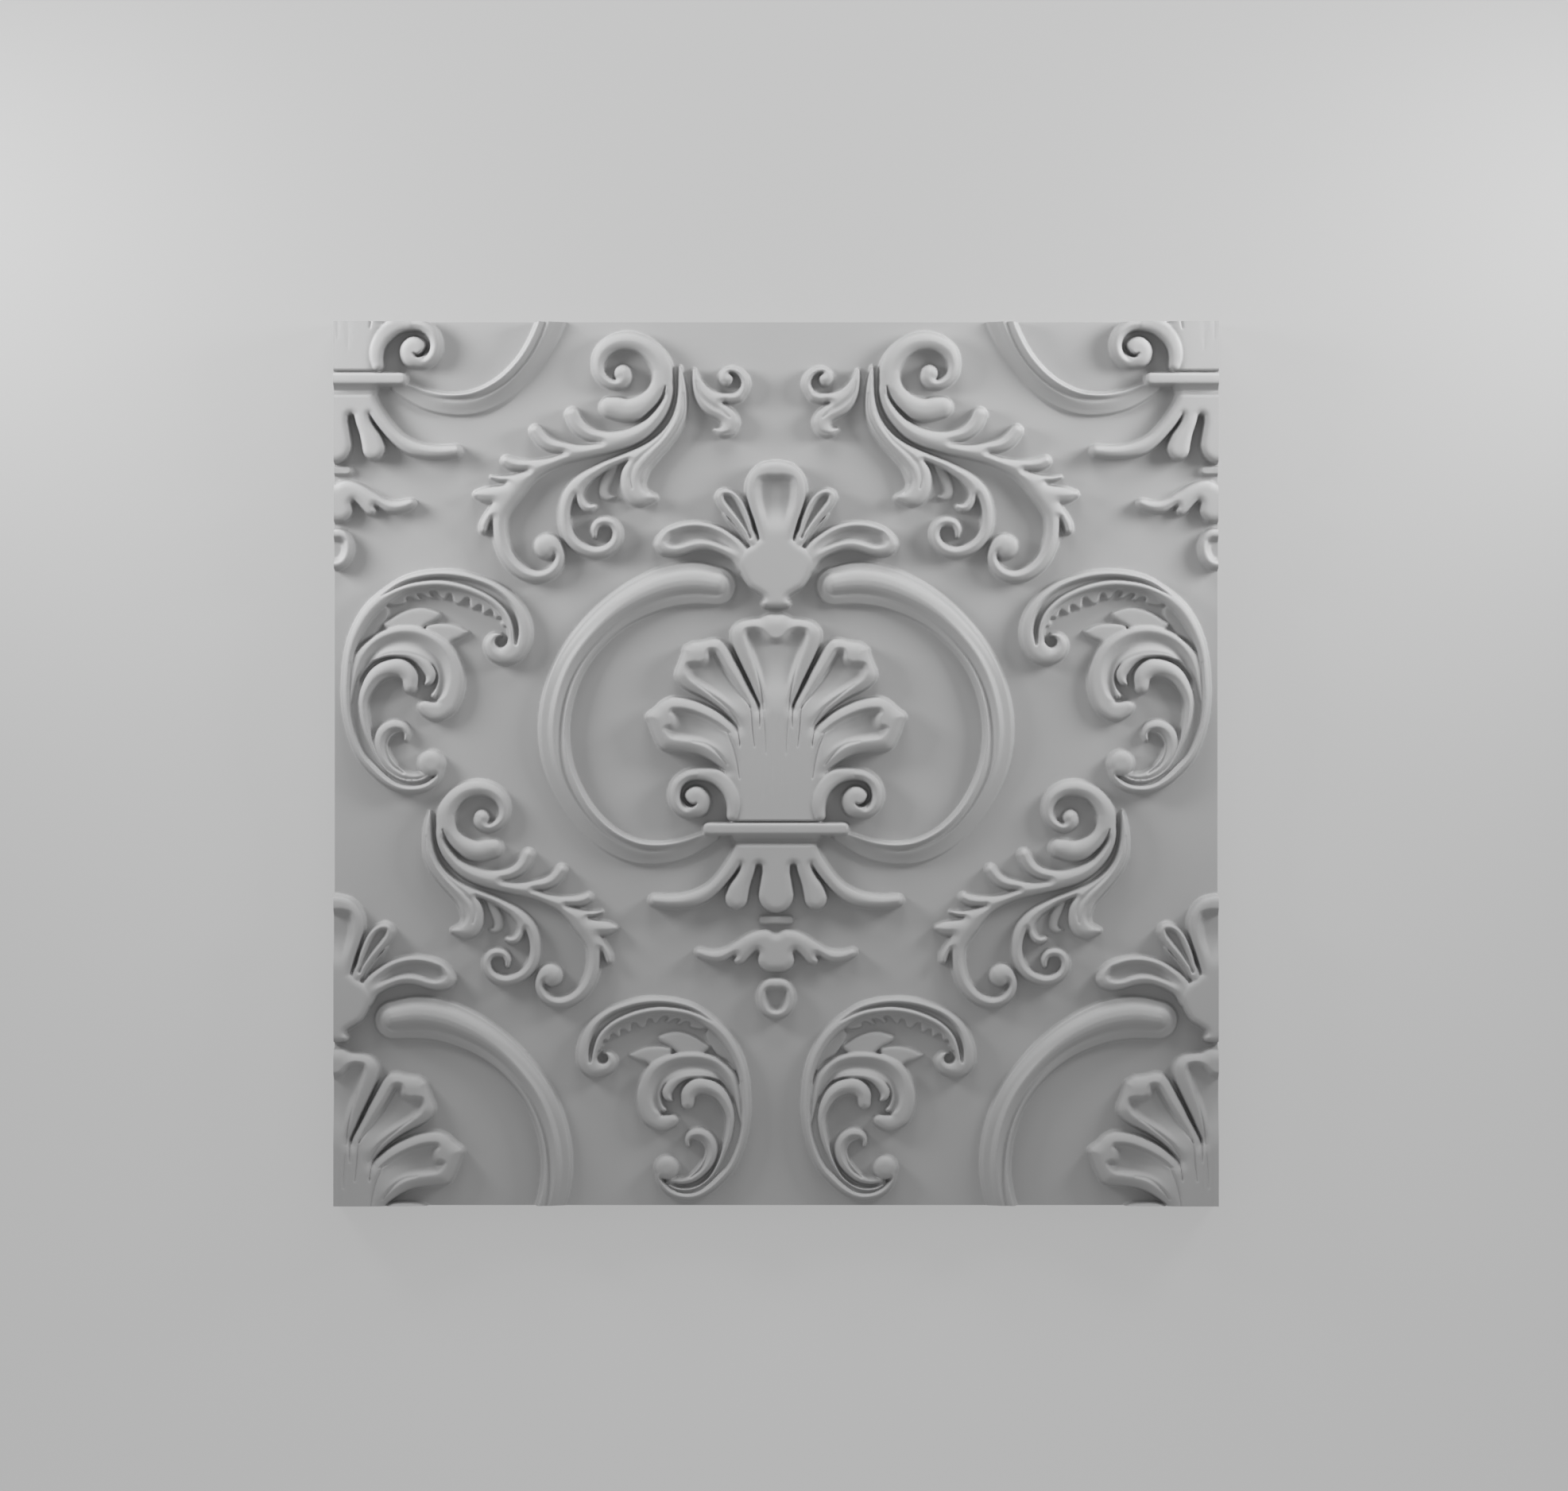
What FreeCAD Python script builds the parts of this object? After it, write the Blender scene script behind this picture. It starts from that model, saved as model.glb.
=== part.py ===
# Cast plaster wall tile with a symmetrical scroll and shell ornament in relief.
# The tile lies on its flat back: +Z is the face, +Y the upper edge, +X the right edge.
# The origin is the middle of the back. All sizes are in millimetres.

import FreeCAD, Part
import math
import os

# driving dimensions
TILE_SIDE = 500.0
GROUND_THICKNESS = 18.0
ORNAMENT_ROOT = 1.0          # every form is sunk this far into the ground
WALL_DRAFT = 0.5             # the walls lean in by this much on their way up
SHOULDER_WIDTH = 1.5         # slope between wall and top, seen from above
SHOULDER_FALL = 1.8          # and its height
TIP_LIMIT = 0.4              # a narrow tip keeps this share of its width at the top
CUT_RISE = 1.0               # hollows are cut from this far above the form
PLATE_CORNER = 2.6

# heights of the forms above the ground
RING_BASE_HEIGHT = 5.5
RING_RIB_HEIGHT = 9.0
RING_BEAD_HEIGHT = 11.0
PALMETTE_HEIGHT = 12.0
PALMETTE_LOBE_HEIGHT = 11.2
PALMETTE_FOOT_HEIGHT = 9.4
SHELL_HEIGHT = 13.0
SHELL_BODY_HEIGHT = 12.5
VOLUTE_HEIGHT = 10.8
PLATE_HEIGHT = 14.0
NECK_HEIGHT = 9.0
FRINGE_HEIGHT = 10.8
BAR_HEIGHT = 4.4
WING_HEIGHT = 9.0
DROP_HEIGHT = 8.8
ACANTHUS_HEIGHT = 9.8
INNER_STEM_HEIGHT = 9.2
FROND_HEIGHT = 8.6
BALL_HEIGHT = 10.4
SCROLL_HEIGHT = 9.4
COMMA_HEIGHT = 7.8
MIDDLE_COMMA_HEIGHT = 9.6
SMALL_CURL_HEIGHT = 7.4
STEM_FLOOR_HEIGHT = 4.0
FLAT_LEAF_HEIGHT = 3.8
BIRD_HEIGHT = 9.0
BIRD_LEAF_HEIGHT = 8.5

# depths of the hollows below the top of their forms
SHELL_DISH_DEPTH = 5.2
PALMETTE_DISH_DEPTH = 5.2
DROP_DISH_DEPTH = 5.0
COMMA_VALLEY_DEPTH = 4.0
STEM_CHANNEL_DEPTH = 5.4
DISH_FLOOR_SHARE = 0.45      # size of a dish's floor as a share of its rim

# repeats: the centre motif returns at the corners, the side scrolls return smaller below
CORNER_SHIFT_X = 250.0
UPPER_CORNER_SHIFT_Y = 254.4
LOWER_CORNER_SHIFT_Y = -245.6
LOWER_SCALE = 0.912
LOWER_ACANTHUS_SHIFT = (-245.6, -231.85)
LOWER_SCROLL_SHIFT = (-239.9, -232.1)


def vec(x, y, z):
    return FreeCAD.Vector(x, y, z)


def heading(before, after):
    dx = after[0] - before[0]
    dy = after[1] - before[1]
    size = math.hypot(dx, dy)
    return dx / size, dy / size


def spline_edge(points, stations, z):
    """Smooth edge at one level through plane points, each reached at its own station."""
    curve = Part.BSplineCurve()
    curve.interpolate(Points=[vec(x, y, z) for x, y in points], Parameters=stations)
    return curve.toShape()


def arc_edge(first, middle, last, z):
    return Part.Arc(vec(*first, z), vec(*middle, z), vec(*last, z)).toShape()


def stroke_wire(line, inset, z):
    """Closed outline round a centre line of (x, y, half width) with round ends."""
    left = []
    right = []
    stations = [0.0]
    count = len(line)
    for i in range(count):
        x, y, half = line[i]
        dx, dy = heading(line[max(i - 1, 0)], line[min(i + 1, count - 1)])
        half = max(half - inset, half * TIP_LIMIT)
        left.append((x - dy * half, y + dx * half))
        right.append((x + dy * half, y - dx * half))
        if i == 0:
            start = (x - dx * half, y - dy * half)
        else:
            stations.append(stations[-1] + math.dist(line[i - 1][:2], line[i][:2]))
    end = (x + dx * half, y + dy * half)
    backwards = [stations[-1] - s for s in stations[::-1]]
    edges = [
        spline_edge(left, stations, z),
        arc_edge(left[-1], end, right[-1], z),
        spline_edge(right[::-1], backwards, z),
        arc_edge(right[0], start, left[0], z),
    ]
    return Part.Wire(edges)


def outline_wire(points, inset, z):
    """Smooth closed outline through plane points, anticlockwise, moved inwards by the inset."""
    moved = []
    stations = [0.0]
    count = len(points)
    for i in range(count):
        x, y = points[i]
        after = points[(i + 1) % count]
        dx, dy = heading(points[i - 1], after)
        moved.append(vec(x - dy * inset, y + dx * inset, z))
        stations.append(stations[-1] + math.dist(points[i], after))
    curve = Part.BSplineCurve()
    curve.interpolate(Points=moved, PeriodicFlag=True, Parameters=stations)
    return Part.Wire(curve.toShape())


def cast_form(wire_at, height):
    """Raised form: a steep drafted wall, then a sloping shoulder up to a flat top."""
    levels = [
        (0.0, -ORNAMENT_ROOT),
        (WALL_DRAFT, height - SHOULDER_FALL),
        (WALL_DRAFT + SHOULDER_WIDTH, height),
    ]
    wires = [wire_at(inset, GROUND_THICKNESS + rise) for inset, rise in levels]
    return Part.makeLoft(wires, True, True)


def stroke(line, height):
    """Raised band that follows a centre line."""
    return cast_form(lambda inset, z: stroke_wire(line, inset, z), height)


def pad(outline, height):
    """Raised form with a drawn outline."""
    return cast_form(lambda inset, z: outline_wire(outline, inset, z), height)


def disc(x, y, radius, height):
    """Round button, as a short stroke whose two round ends make the circle."""
    return stroke([(x - 0.1, y, radius), (x + 0.1, y, radius)], height)


def groove(line, top, depth):
    """Cutter for a channel along a centre line, narrower at its floor."""
    low = stroke_wire(line, WALL_DRAFT + SHOULDER_WIDTH, GROUND_THICKNESS + top - depth)
    high = stroke_wire(line, 0.0, GROUND_THICKNESS + top + CUT_RISE)
    return Part.makeLoft([low, high], True, True)


def dish(rim, deepest, top, depth):
    """Cutter for a hollow whose banks run from the rim to a small floor round its deepest point."""
    share = DISH_FLOOR_SHARE
    floor = [(deepest[0] + (x - deepest[0]) * share, deepest[1] + (y - deepest[1]) * share)
             for x, y in rim]
    low = outline_wire(floor, 0.0, GROUND_THICKNESS + top - depth)
    high = outline_wire(rim, 0.0, GROUND_THICKNESS + top + CUT_RISE)
    return Part.makeLoft([low, high], True, True)


def twinned(points):
    """Whole outline from its left half, given from the middle line down to the middle line."""
    return points + [(-x, y) for x, y in points[::-1] if x < 0]


def fused(shapes):
    return shapes[0].multiFuse(shapes[1:])


def mirrored(shape):
    return shape.mirror(vec(0, 0, 0), vec(1, 0, 0))


# acanthus scroll of the upper left
VOLUTE_BAND = [
    (-90, 214.4, 2.8), (-96, 216.5, 3.1), (-99.8, 221, 3.4), (-100.6, 226.5, 3.6),
    (-98.5, 232.7, 4.3), (-93, 237.3, 4.7), (-84, 239.2, 5.1), (-75, 236.8, 5.1),
    (-68, 230.7, 5.5), (-64.2, 222.5, 5.8), (-64.5, 214, 5.5), (-68.2, 209, 5.2),
    (-74, 204.6, 5.8), (-80, 201.3, 6.2), (-86, 200.4, 6.4), (-93.5, 201.6, 6),
]
LONG_STEM = [
    (-60.4, 213, 2.8), (-61.4, 206.6, 2.9), (-65, 199.2, 3.5), (-69.2, 193.9, 3.8),
    (-76, 187.5, 3.9), (-84, 183, 3.7), (-92, 180.3, 3.5), (-100, 178.1, 3.4),
    (-110, 175.6, 3.2), (-120, 172.9, 3.1), (-130, 168.5, 3.1), (-138, 163.7, 3.3),
    (-144, 159, 4.5), (-149.5, 154, 6), (-153.5, 148, 5.5), (-156.2, 141, 4.6),
    (-156.5, 133, 4.1), (-155.3, 125, 4.1), (-152.3, 117.5, 4), (-147.5, 111.5, 3.9),
    (-141.5, 107.5, 3.7), (-135, 106, 3.5), (-128.5, 107.7, 3.3), (-124.2, 111.7, 3.1),
    (-122.6, 117.5, 3), (-124, 121, 3.2),
]
INNER_STEM = [
    (-54.4, 222.5, 0.9), (-54, 218, 1.6), (-53.4, 212, 2.5), (-53.3, 205, 3.2),
    (-54.3, 199.3, 3.6), (-57.2, 191.6, 4.4), (-62, 185.3, 4.7), (-68.4, 179.6, 4.6),
    (-76, 175.8, 4.2), (-84, 173, 3.6), (-91, 170.6, 3), (-97, 168.2, 3), (-102, 165.6, 3.2),
    (-108, 161.8, 3.6), (-113, 157.5, 3.9), (-116.8, 152.5, 3.9), (-119, 146.5, 3.7),
    (-119.7, 140, 3.5), (-119.2, 134, 3.5), (-117, 128.5, 3.5), (-112.8, 123.8, 3.5),
    (-107.5, 120.9, 3.4), (-102, 119.7, 3.4), (-96.5, 120.8, 3.3), (-92.3, 123.8, 3.1),
    (-90, 128.2, 3), (-90.2, 132.6, 2.9), (-92.6, 136, 2.9), (-97, 137.2, 2.9),
    (-101, 135.8, 2.7), (-102.4, 131.5, 2.3),
]
BROAD_LEAF = [
    (-64, 182, 4), (-72, 174, 4.6), (-78.2, 167.5, 6.2), (-80.6, 160, 7.2),
    (-79.8, 154.6, 6.4), (-75.6, 151, 4), (-71, 150.4, 2.2),
]
INNER_CURL = [
    (-108, 161, 2.5), (-111, 156, 2.3), (-111.3, 151.5, 2.3),
    (-110.2, 147.8, 2.6), (-107.5, 145, 2.8), (-104.5, 144.6, 2.4),
]
LOW_LEAF = [(-90.5, 168.5, 1.6), (-95, 162, 3.2), (-97, 156, 3.4), (-93.5, 151.2, 1.8)]
FRONDS = [
    [(-76, 189.4, 3), (-84, 186.2, 3.4), (-92, 184.6, 3.6), (-100, 185.1, 3.5),
     (-106, 186.8, 3.7), (-111, 190.2, 4), (-115, 197, 4)],
    [(-106, 177.5, 3), (-114, 177.8, 3.1), (-120, 178.9, 3.1), (-126, 180, 3.6),
     (-131.5, 183, 3.8), (-136, 188, 3.6)],
    [(-124, 171.8, 2.6), (-132, 169.5, 2.8), (-140, 169, 3.1), (-146, 169.2, 3.4),
     (-152, 170.8, 3.2)],
    [(-140, 163.5, 2.5), (-150, 161.3, 2.3), (-160, 161.9, 1.4)],
    [(-152, 152.5, 4.8), (-160, 152.2, 4.8), (-165, 152.1, 4), (-168.5, 152.5, 2.6)],
    [(-157, 148, 3), (-160.5, 143.5, 2.7), (-163.5, 139, 2.7), (-165.4, 132.6, 2.6)],
]


def acanthus_scroll():
    parts = [
        stroke(VOLUTE_BAND, ACANTHUS_HEIGHT),
        disc(-87, 219.8, 5.2, ACANTHUS_HEIGHT),
        stroke(LONG_STEM, ACANTHUS_HEIGHT),
        disc(-129.8, 123.3, 6.8, BALL_HEIGHT),
        stroke(INNER_STEM, INNER_STEM_HEIGHT),
        stroke(BROAD_LEAF, FROND_HEIGHT),
        stroke(INNER_CURL, FROND_HEIGHT),
        stroke(LOW_LEAF, FLAT_LEAF_HEIGHT),
    ]
    for line in FRONDS:
        parts.append(stroke(line, FROND_HEIGHT))
    return fused(parts)


# leafy scroll at the left edge
OUTER_STEM = [
    (-189.6, -3, 1.5), (-192, -8, 1.9), (-196.6, -12, 2.2), (-202, -14, 2.3),
    (-209, -14.4, 2.4), (-215.4, -12.7, 2.5),
    (-220.8, -9.3, 2.7), (-227.3, -3.5, 2.9), (-234, 4, 2.7), (-239, 15, 2.6),
    (-241.7, 25, 2.6), (-242.9, 37, 2.9), (-242.4, 50, 3.1), (-241.6, 60, 2.9),
    (-239.3, 69.3, 3.2), (-234.9, 79, 3.6), (-229, 87.5, 3.9), (-222.3, 93.6, 4),
    (-210, 101.6, 4.1), (-202, 104, 4.3), (-190, 105.2, 4.5), (-180, 104.6, 4.8),
    (-170, 101.6, 5.1), (-160, 97, 5.8), (-151.5, 89.5, 6.6), (-146, 80, 6.8), (-145.5, 71, 7.2),
]
STEM_CURL = [
    (-146.5, 67, 6), (-149.5, 63, 5.6), (-155.2, 61.3, 4.9), (-160.3, 64, 4.2),
    (-161.9, 68.5, 3.3), (-159.5, 72.3, 2), (-156, 72.4, 1.2),
]
INNER_RIM = [
    (-215, 97.2, 1.7), (-210, 99.3, 1.9), (-200, 101.4, 2), (-190, 101.9, 2), (-180, 100.4, 2),
    (-170, 97.1, 2), (-160.4, 91.9, 2), (-153.6, 85, 2), (-150.4, 77.6, 1.9), (-149.6, 71, 1.7),
]
STEM_CHANNEL = [
    (-219, 97.2, 0.7), (-210, 101.9, 1.5), (-200, 104.2, 1.9), (-190, 105, 2.1),
    (-180, 104, 2.4), (-170, 101.1, 2.8), (-160.5, 96.2, 3.2), (-153, 89.4, 3.3),
    (-148.6, 81.4, 2.9), (-147, 74, 2.2), (-147.1, 68.4, 1.2),
]
STEM_FLOOR = [
    (-238.6, 46, 3), (-238.6, 34, 3.3), (-236.9, 22, 3.4), (-233.1, 10, 3.4), (-226.8, 0, 3.2),
    (-219, -7.5, 2.8), (-209, -11, 2.2), (-198, -9, 1.6),
]
BIG_COMMA = [
    (-240.2, 53), (-238.4, 61.8), (-230, 70.3), (-220, 76.3), (-210, 78.3), (-200, 76.8),
    (-190, 72), (-182, 64.5), (-177.1, 53), (-176.5, 45), (-179.1, 34.2), (-185.1, 27),
    (-192, 24.3), (-198, 26.1), (-202.8, 31.8), (-198.9, 35.6), (-192, 36.2), (-190.8, 43),
    (-193.8, 54), (-202, 59.4), (-215, 60.8), (-228, 57.6), (-235.8, 46), (-238.8, 33),
    (-241.6, 33),
]
COMMA_VALLEY = [
    (-234.6, 52, 1.6), (-230.4, 59.4, 2.6), (-225, 65, 3.6), (-218, 68.2, 4.4), (-210, 69.2, 5),
    (-203, 68, 5.2), (-196, 64.2, 5.2), (-190.6, 58.4, 4.8), (-188.2, 51, 4), (-188.4, 44.6, 3),
]
COMMA_HOOK = [
    (-221.5, 61.2, 1), (-214, 62.2, 1.5), (-207, 61.2, 2.2), (-201.2, 58.3, 2.9),
    (-197.2, 54, 3.3), (-195.4, 50, 3.1), (-196, 47.2, 2.5), (-198, 45.2, 1.3),
]
MIDDLE_COMMA = [
    (-206.8, 44.3, 4.3), (-207.5, 50, 5), (-212, 54, 5.4), (-219, 53.9, 5), (-226, 50.2, 4.5),
    (-231, 43.5, 3.7), (-233.4, 36, 3), (-232.9, 27, 2.6), (-231, 18, 2), (-228.8, 11, 1.5),
    (-225.5, 4, 1.2), (-221.5, -2, 1.2), (-214, -8.2, 1.1), (-206, -9.8, 1.1), (-200, -8.6, 1.1),
]
SMALL_CURL = [
    (-209.4, 14, 1.3), (-208.9, 17, 1.9), (-210.5, 20, 2.9), (-215.5, 21, 4.1),
    (-221, 18, 4.4), (-223.8, 12, 4.2), (-222.3, 4.6, 3.8), (-218.3, -0.8, 3.2),
    (-213, -5.2, 2.6), (-206, -7.3, 2), (-200, -6.8, 1.7),
]
FLAT_LEAVES = [
    [(-218, 79, 2.5), (-208, 83, 4.5), (-200, 84, 4.4), (-194.5, 84.3, 2.6), (-191, 84.8, 1)],
    [(-196, 75.5, 3), (-188, 74.6, 4.6), (-182, 74.3, 3.8), (-178, 74.5, 2.2), (-175, 74.8, 0.9)],
]


def leafy_scroll():
    stem = stroke(OUTER_STEM, SCROLL_HEIGHT)
    stem = stem.cut(groove(STEM_CHANNEL, SCROLL_HEIGHT, STEM_CHANNEL_DEPTH))
    comma = pad(BIG_COMMA, COMMA_HEIGHT)
    comma = comma.cut(groove(COMMA_VALLEY, COMMA_HEIGHT, COMMA_VALLEY_DEPTH))
    parts = [
        stem,
        comma,
        stroke(INNER_RIM, SCROLL_HEIGHT),
        stroke(STEM_CURL, SCROLL_HEIGHT),
        stroke(STEM_FLOOR, STEM_FLOOR_HEIGHT),
        disc(-195.3, 0.3, 7.4, SCROLL_HEIGHT),
        stroke(COMMA_HOOK, COMMA_HEIGHT),
        stroke(MIDDLE_COMMA, MIDDLE_COMMA_HEIGHT),
        stroke(SMALL_CURL, SMALL_CURL_HEIGHT),
    ]
    for line in FLAT_LEAVES:
        parts.append(stroke(line, FLAT_LEAF_HEIGHT))
    return fused(parts)


# small bird-like scroll beside the upper middle
BIRD_CURL = [
    (-27.6, 222.9, 1.6), (-23, 222.5, 2), (-18.9, 219.6, 2.5), (-17.3, 215.3, 2.7),
    (-18.8, 210.6, 3), (-23, 207.6, 3.1), (-29, 207.2, 3.2), (-35, 208.4, 4), (-40, 211, 3),
]
BIRD_LEAF = [
    (-43.6, 220.6), (-46.2, 222), (-47.9, 219), (-47.2, 211), (-44, 203), (-38, 197.5),
    (-33, 195), (-30, 191.6), (-26.5, 189), (-22.6, 189.6), (-20.7, 193.6), (-23, 199),
    (-28, 203.6), (-31.4, 207.4), (-34, 210.7), (-38.4, 214),
]
BIRD_HOOK = [(-24.4, 193.4, 3.6), (-25.2, 190, 3.6), (-28.6, 187.9, 3.1), (-33.4, 188.2, 1.8)]


def bird_scroll():
    return fused([
        stroke(BIRD_CURL, BIRD_HEIGHT),
        disc(-28.3, 217.8, 4.1, BIRD_HEIGHT),
        pad(BIRD_LEAF, BIRD_LEAF_HEIGHT),
        stroke(BIRD_HOOK, BIRD_LEAF_HEIGHT),
    ])


# left half of the ring round the shell: a base, its outer bead and its inner rib
RING_BASE = [
    (-34, 100.6, 11), (-45, 101.9, 12), (-60, 100.3, 11.9), (-75, 94.8, 11), (-90, 86, 10),
    (-103.8, 73.5, 9.4), (-116.2, 56.7, 9.3), (-123.2, 38.7, 9.3), (-125.9, 17, 9.1),
    (-123.8, 0.9, 8.7), (-117.3, -15.8, 8), (-107.3, -31, 7.4), (-93.5, -43.5, 7.2),
    (-78, -50.2, 6.8), (-65, -50.8, 6.3), (-52, -48.2, 5.7), (-42, -43.9, 4.6), (-36, -41, 3.6),
]
RING_BEAD = [
    (-34, 103, 6.2), (-45, 104.2, 6.8), (-60, 103, 6.6), (-75, 97.2, 6.2), (-91, 87.2, 5.2),
    (-104.8, 74.8, 4.2), (-117.4, 57.4, 3.6), (-124.2, 39, 3.4), (-126.6, 17, 3.3),
    (-124.6, 0.7, 3.1), (-117.2, -15.6, 2.9), (-106.8, -30.6, 2.6), (-93, -42.6, 2.3),
    (-77.5, -49, 2),
]
RING_RIB = [
    (-66, 88.6, 1.5), (-76.2, 84.7, 1.8), (-89, 77, 2.1), (-100.8, 66.5, 2.3),
    (-108.8, 56, 2.4), (-115.6, 40.5, 2.4), (-119.4, 20, 2.3), (-118.2, 4.3, 2.2),
    (-113.6, -11, 2.2), (-101.2, -31.6, 2.2), (-87, -42, 2.2), (-70, -46.2, 2.1),
    (-60, -46.2, 1.8), (-52, -45, 1.1),
]

# palmette over the shell
PALM_CENTRE = twinned([
    (0, 171.3), (-6, 170.6), (-12, 167.5), (-16, 162), (-17.3, 155), (-15.8, 147), (-13, 138),
    (-10.4, 129.5), (-9, 116), (0, 112),
])
PALM_CENTRE_DISH = twinned([
    (0, 163.6), (-7, 163.4), (-11.4, 160.6), (-12, 152), (-10, 141), (-6.6, 130), (0, 127),
])
PALM_CENTRE_DEEPEST = (0, 157)
PALM_SIDE = [
    (-12, 122, 3), (-14.8, 128.5, 3.6), (-18.6, 135.5, 5), (-23.6, 143, 6.9), (-27.8, 149.2, 6.6),
]
PALM_SIDE_DISH = [
    (-30.4, 151.6), (-30.6, 148.6), (-27.6, 144.6), (-20.8, 136), (-15.6, 128.6), (-14, 128.6),
    (-16.4, 137), (-20.4, 146.4), (-25.6, 152.2),
]
PALM_SIDE_DEEPEST = (-26.8, 148)
PALM_LOW = [
    (-14, 116, 7), (-20, 120.5, 7), (-27, 124.5, 7.4), (-35, 127.7, 7.8), (-45, 129, 8.1),
    (-53, 128.1, 8.6), (-60, 125.9, 8.4),
]
PALM_LOW_DISH = [
    (-63.8, 127), (-61.4, 130.6), (-50, 134.4), (-38, 133.6), (-28, 128.6), (-19, 119.8),
    (-24, 117.8), (-34, 123), (-43, 124.6), (-53, 122.6), (-61.6, 122.8),
]
PALM_LOW_DEEPEST = (-52, 128.6)
PALM_BODY = twinned([
    (0, 129), (-11, 126), (-18, 121), (-21.6, 114.5), (-19.6, 106.5), (-15, 100), (-9, 96.2),
    (-6.4, 93), (-5, 89), (0, 88.6),
])
PALM_FOOT = [(-5.3, 91.2, 2.8), (0, 90.9, 3.1), (5.3, 91.2, 2.8)]

# shell of five ribs with bracket-shaped ends, and its volutes
SHELL_CENTRE = twinned([
    (0, 84.7), (-5, 84.5), (-8.6, 82.8), (-16, 81.6), (-22.6, 79), (-25.6, 73.6), (-24.6, 67),
    (-20, 56.5), (-15, 45.5), (-11, 36), (-9.4, 28), (-9, 12), (-8, 0), (0, -4),
])
SHELL_CENTRE_DISH = twinned([
    (0, 71), (-5, 73.7), (-8.4, 76.6), (-14.5, 77.6), (-18.8, 74), (-17.8, 68), (-14.9, 60),
    (-11.4, 50), (-8.9, 40), (-6.4, 29), (0, 25),
])
SHELL_CENTRE_DEEPEST = (0, 66)
SHELL_UPPER = [
    (-9.2, 24), (-10.4, 32), (-14.3, 40.5), (-19.7, 52), (-25.6, 63), (-31, 70), (-37, 70.6),
    (-46, 69), (-51.6, 66.4), (-53.4, 61), (-56.4, 53.4), (-56.2, 47.4), (-50, 41.8),
    (-40, 36.6), (-30, 29.8), (-23.8, 23), (-21, 8), (-14, 2), (-8, 8),
]
SHELL_UPPER_DISH = [
    (-36.6, 66), (-40, 63.6), (-42.4, 58.6), (-50.6, 57), (-51.8, 52), (-48, 46.4),
    (-39.5, 40.6), (-28.6, 32.4), (-19, 25.4), (-14.4, 30), (-16.4, 38.8), (-22.7, 48.8),
    (-30.6, 61.8),
]
SHELL_UPPER_DEEPEST = (-36, 53)
SHELL_LOWER = [
    (-21.2, 14), (-24, 22.4), (-30, 27.6), (-40, 33.6), (-50, 37), (-59, 37.7), (-65.5, 34.5),
    (-72, 29.4), (-72.8, 24.6), (-70.4, 18.6), (-67, 11), (-62.5, 7.5), (-55, 6.8),
    (-45, 5.3), (-36, 1), (-29, -4.6), (-22, -10), (-12, -6), (-12, 6),
]
SHELL_LOWER_DISH = [
    (-60, 31), (-63, 21), (-59, 14.2), (-47, 12), (-36.4, 7.6), (-28.6, 0.8), (-24.2, 4),
    (-24, 14), (-31, 22.4), (-43, 29), (-52, 32),
]
SHELL_LOWER_DEEPEST = (-50, 21)
SHELL_BODY = twinned([
    (0, 30), (-9, 22), (-18, 14), (-23, 3), (-27, -5), (-24.4, -11), (-21.6, -20), (-20.4, -30),
    (-20, -36), (0, -38),
])
SHELL_VOLUTE = [
    (-24, -33, 3.9), (-23.9, -28, 3.5), (-23.9, -24, 3.4), (-25.5, -17, 3.9), (-28.8, -11.8, 4.3),
    (-34.5, -7.1, 4.6), (-42, -5.9, 3.7), (-50, -7, 3.4), (-55.4, -11.3, 3.4),
    (-57.2, -17.5, 3.3), (-55.6, -23.4, 3.1), (-51, -27.2, 2.9), (-46.3, -27, 3.3),
    (-42.4, -24.4, 4),
]

# pedestal, fringe and pendants under the shell
PLATE_HALF_LENGTH = 41.2
PLATE_TOP = -33.2
PLATE_BOTTOM = -40.5
PEDESTAL_NECK = twinned([
    (0, -35), (-20, -35), (-25, -39), (-23.9, -45), (-24.6, -51), (-22, -55.4), (-14, -56.8),
    (0, -57.4),
])
FRINGE_LEAF = [
    (-19.5, -46, 4.2), (-25, -57.6, 4), (-30.5, -64.9, 3.8), (-36.3, -70.8, 3.9),
    (-43.7, -75.4, 4.3), (-52, -77.5, 3.9), (-60, -78, 3.6), (-68.4, -77.4, 3.4),
]
FRINGE_FINGER = [
    (-15.2, -50, 4.6), (-16.2, -59, 4.4), (-18.8, -66, 5), (-21.2, -71.5, 6.1), (-22.5, -75.6, 6.6),
]
FRINGE_MIDDLE = [(0, -50, 8.6), (0, -60, 8.2), (0, -67, 9), (0, -73.8, 10.1)]
SMALL_BAR = [(-7.4, -88.5, 2.4), (0, -88.5, 2.4), (7.4, -88.5, 2.4)]
WING = twinned([
    (0, -96), (-4, -94.2), (-9, -94), (-15, -96), (-20, -98.8), (-25, -101.8), (-31, -105),
    (-39, -105.2), (-44, -104.5), (-46, -107), (-42, -110.7), (-34, -112.6), (-27, -110.5),
    (-23.6, -109.4), (-24.2, -112.6), (-21.5, -113.9), (-16.5, -111), (-11.4, -106.4),
    (-10.3, -110), (-9.4, -114.6), (-5, -117.6), (0, -118),
])
DROP = twinned([
    (0, -121.2), (-5.4, -122), (-9.2, -126), (-10.7, -132), (-9.6, -138), (-5.8, -142.8),
    (0, -144.4),
])
DROP_DISH = twinned([
    (0, -124.8), (-5, -125.4), (-7.6, -130), (-6.6, -136.4), (-3.6, -140.4), (0, -141.2),
])
DROP_DEEPEST = (0, -130.5)


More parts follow.
